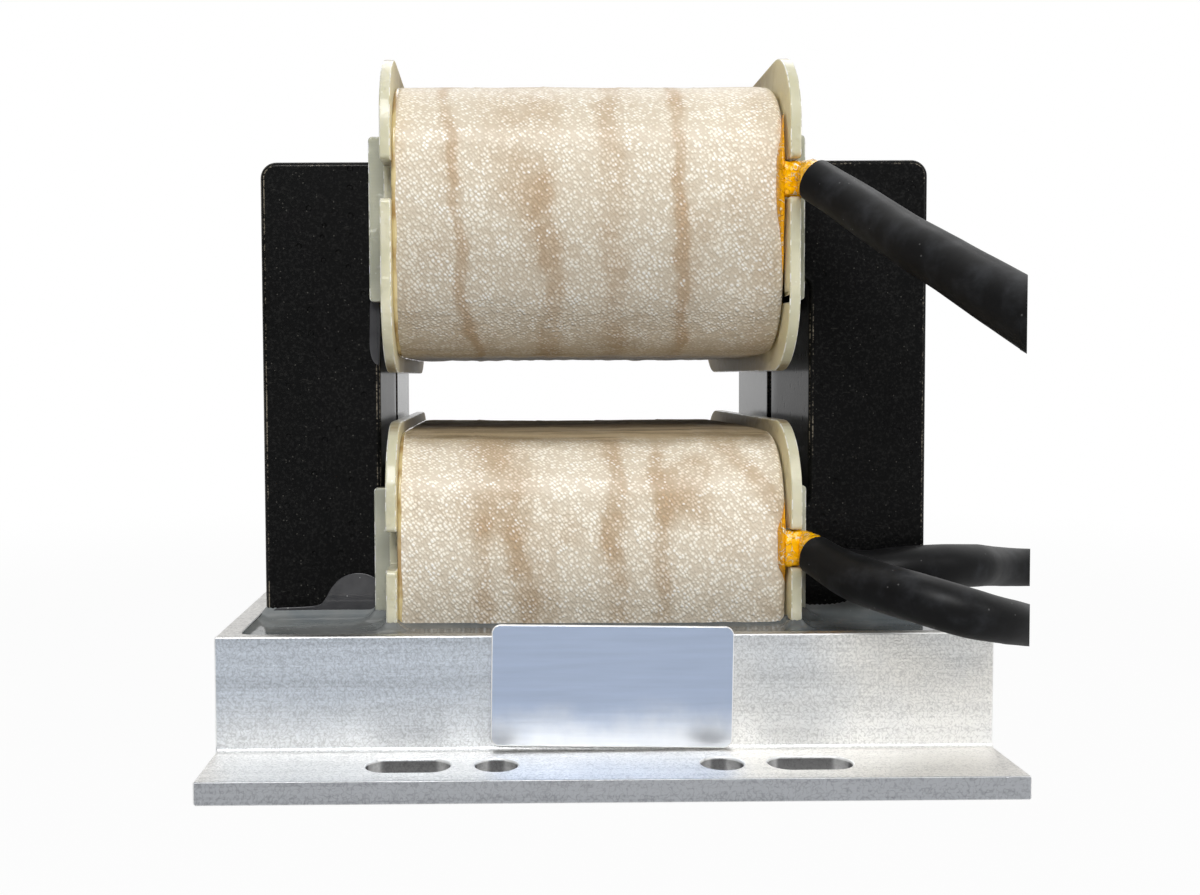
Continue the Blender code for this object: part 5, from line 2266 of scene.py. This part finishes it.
@dataclass
class Softbox:
    """A flat lamp: where it hangs, how wide and high it is, and how strong."""

    name: str
    place: tuple[float, float, float]
    width: float
    height: float
    watts: float


@dataclass
class Studio:
    """The floor, the lamps, the bright surroundings and the camera."""

    target: tuple[float, float, float] = (0.0, 0.0, 0.07)
    softboxes: tuple[Softbox, ...] = (
        Softbox("front_lamp", (-0.05, -0.95, 0.75), 0.60, 0.50, 10.6),
        Softbox("side_lamp", (0.95, -0.70, 0.45), 0.50, 0.70, 3.2),
        Softbox("rear_lamp", (0.0, 0.60, 0.95), 0.90, 0.60, 3.0),
    )
    floor_half: float = 6.0
    floor_drop: float = 0.0002
    floor_tone: float = 0.62
    mirrored_floor: float = 0.80
    glow_reach: tuple[float, float] = (0.20, 0.55)
    glow_share: float = 0.95
    lens: float = 37.34
    sensor: float = 36.0
    shift: tuple[float, float] = (0.0721, -0.01345)
    yaw: float = math.radians(0.437)
    pitch: float = math.radians(2.499)
    roll: float = math.radians(-0.293)

    def build(self) -> None:
        """Sets up everything round the reactor."""
        self.add_floor()
        self.light_world()
        for softbox in self.softboxes:
            self.hang(softbox)
        self.add_camera()
        bpy.context.scene.view_settings.view_transform = "Standard"

    def add_floor(self) -> None:
        """A wide pale floor that shows white but keeps the reactor's shadow."""
        mesh = bpy.data.meshes.new("floor")
        with opened(mesh) as body:
            bmesh.ops.create_grid(body, x_segments=8, y_segments=8, size=self.floor_half)
        floor = guide_object("floor", mesh)
        floor.location.z = -self.floor_drop
        made = bpy.data.materials.new("pale_floor")
        shader = Shader(made)
        surface = shader.tree.nodes["Principled BSDF"]
        shader.feed(surface.inputs["Base Color"], (self.floor_tone,) * 3)
        shader.feed(surface.inputs["Roughness"], 0.9)
        shader.feed(surface.inputs["Specular IOR Level"], 0.0)
        glow = shader.node("ShaderNodeEmission", None, {"Color": (1.0, 1.0, 1.0), "Strength": 1.0})
        x, y, _ = shader.split(shader.place())
        away = (x * x + y * y) ** 0.5
        share = away.between(*self.glow_reach) * (1 - self.glow_share) + self.glow_share
        blend = shader.node("ShaderNodeMixShader", None, {
            0: self.seen_rays(shader) * share, 1: surface.outputs[0], 2: glow.outputs[0],
        })
        output = shader.tree.nodes["Material Output"]
        shader.feed(output.inputs["Surface"], blend.outputs[0])
        mesh.materials.append(made)

    @staticmethod
    def rays(shader: Shader) -> tuple[Value, Value, Value]:
        """Which rays meet a shader.

        Args:
            shader: The floor's or the world's nodes.

        Returns:
            1 for the camera's own rays, for reflected ones, and for ones through a clear surface.
        """
        path = shader.node("ShaderNodeLightPath")
        kinds = ("Is Camera Ray", "Is Glossy Ray", "Is Transmission Ray")
        return tuple(Value(shader, path.outputs[kind]) for kind in kinds)

    def seen_rays(self, shader: Shader) -> Value:
        """1 for what is seen as it is, less in a reflection, 0 for light on surfaces."""
        camera, glossy, clear = self.rays(shader)
        return (camera + glossy * self.mirrored_floor + clear).clamped()

    def light_world(self) -> None:
        """White for the camera, softer as light, and a darker room behind the camera."""
        world = bpy.data.worlds.new("studio")
        bpy.context.scene.world = world
        shader = Shader(world)
        camera, glossy, clear = self.rays(shader)
        direction = Value(shader, shader.node("ShaderNodeTexCoord").outputs["Generated"])
        _, back, up = shader.split(direction)
        room = (back.between(-0.35, 0.35) * 0.85 + up.between(0.3, 0.9) * 0.4 + 0.05).clamped()
        soft = up.between(-0.3, 0.9) * 0.15 + 0.07
        white = (camera + clear).clamped()
        level = white + (1 - white) * (glossy * room + (1 - glossy) * soft)
        background = shader.tree.nodes["Background"]
        shader.feed(background.inputs["Color"], (1.0, 1.0, 1.0))
        shader.feed(background.inputs["Strength"], level)

    def hang(self, softbox: Softbox) -> None:
        """Adds one lamp that faces the reactor.

        Args:
            softbox: The lamp.
        """
        data = bpy.data.lights.new(softbox.name, "AREA")
        data.shape = "RECTANGLE"
        data.size = softbox.width
        data.size_y = softbox.height
        data.energy = softbox.watts
        lamp = guide_object(softbox.name, data)
        lamp.location = softbox.place
        aim = Vector(self.target) - lamp.location
        lamp.rotation_euler = aim.to_track_quat("-Z", "Y").to_euler()

    def add_camera(self) -> None:
        """The photograph's viewpoint."""
        data = bpy.data.cameras.new("camera")
        data.lens = self.lens
        data.sensor_width = self.sensor
        data.shift_x, data.shift_y = self.shift
        data.clip_start = 0.01
        camera = guide_object("camera", data)
        level = math.cos(self.pitch)
        forward = Vector((math.sin(self.yaw) * level, math.cos(self.yaw) * level, -math.sin(self.pitch)))
        right = Vector((math.cos(self.yaw), -math.sin(self.yaw), 0.0))
        up = right.cross(forward)
        turned_right = math.cos(self.roll) * right + math.sin(self.roll) * up
        turned_up = -math.sin(self.roll) * right + math.cos(self.roll) * up
        rotation = Matrix((turned_right, turned_up, -forward)).transposed()
        camera.matrix_world = Matrix.Translation(EYE) @ rotation.to_4x4()
        bpy.context.scene.camera = camera


LEADS = (
    Lead(
        "upper", Level.UPPER,
        ((0.0473, -0.0652, 0.1290), (0.0522, -0.0720, 0.1238), (0.0566, -0.0800, 0.1183),
         (0.0608, -0.0890, 0.1127), (0.0655, -0.0975, 0.1074), (0.0701, -0.1060, 0.1020),
         (0.0742, -0.1130, 0.0973), (0.0759, -0.1160, 0.0953)),
        -0.0562, 0.1308, ((0.0, 0.0094), (0.35, 0.0103), (0.60, 0.0107), (1.0, 0.0120)),
        0.0039, (0.0150, 0.0240), 0.13,
    ),
    Lead(
        "lower_front", Level.LOWER,
        ((0.0477, -0.0650, 0.0460), (0.0521, -0.0738, 0.0433), (0.0568, -0.0826, 0.0419),
         (0.0632, -0.0900, 0.0405), (0.0711, -0.0928, 0.0384), (0.0786, -0.0904, 0.0363),
         (0.0847, -0.0856, 0.0345), (0.0912, -0.0812, 0.0328)),
        -0.0574, 0.0467, ((0.0, 0.0090), (0.25, 0.0103), (0.60, 0.0102), (0.80, 0.0094), (1.0, 0.0086)),
        0.0038, (0.0110, 0.0100), 0.57, half_film_mouth=(0.0030, 0.0036),
    ),
    Lead(
        "lower_rear", Level.LOWER,
        ((0.0570, -0.0512, 0.0406), (0.0635, -0.0514, 0.0400), (0.0706, -0.0526, 0.0409),
         (0.0804, -0.0514, 0.0413), (0.0897, -0.0460, 0.0406), (0.0955, -0.0385, 0.0394),
         (0.1012, -0.0315, 0.0381), (0.1078, -0.0265, 0.0371), (0.1143, -0.0240, 0.0366)),
        -0.0527, 0.0467, ((0.0, 0.0100), (0.15, 0.0103), (0.55, 0.0103), (0.80, 0.0099), (1.0, 0.0096)),
        0.0013, (0.0, 0.0), 0.91, half_film=(0.0020, 0.0036),
    ),
)


def clear_defaults() -> None:
    """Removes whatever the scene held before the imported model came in."""
    kept = set(frame["nodes"].values()) | set(frame["bodies"].values())
    for item in list(bpy.data.objects):
        if item not in kept:
            bpy.data.objects.remove(item, do_unlink=True)


def main() -> None:
    """Builds the studio and the reactor's pieces."""
    logging.basicConfig(level=logging.INFO, format="%(name)s: %(message)s")
    clear_defaults()
    palette = Palette()
    Studio().build()
    assemblies = (
        *LEADS, Tray(), Core(), Former(Level.UPPER, 0.1308, 0.018), Former(Level.LOWER, 0.0467, 0.003),
        Coil(Level.UPPER, 0.1004), Coil(Level.LOWER, None), Potting(), Smears(), RatingPlate(),
    )
    for assembly in assemblies:
        assembly.build(palette)


if __name__ == "__main__":
    main()
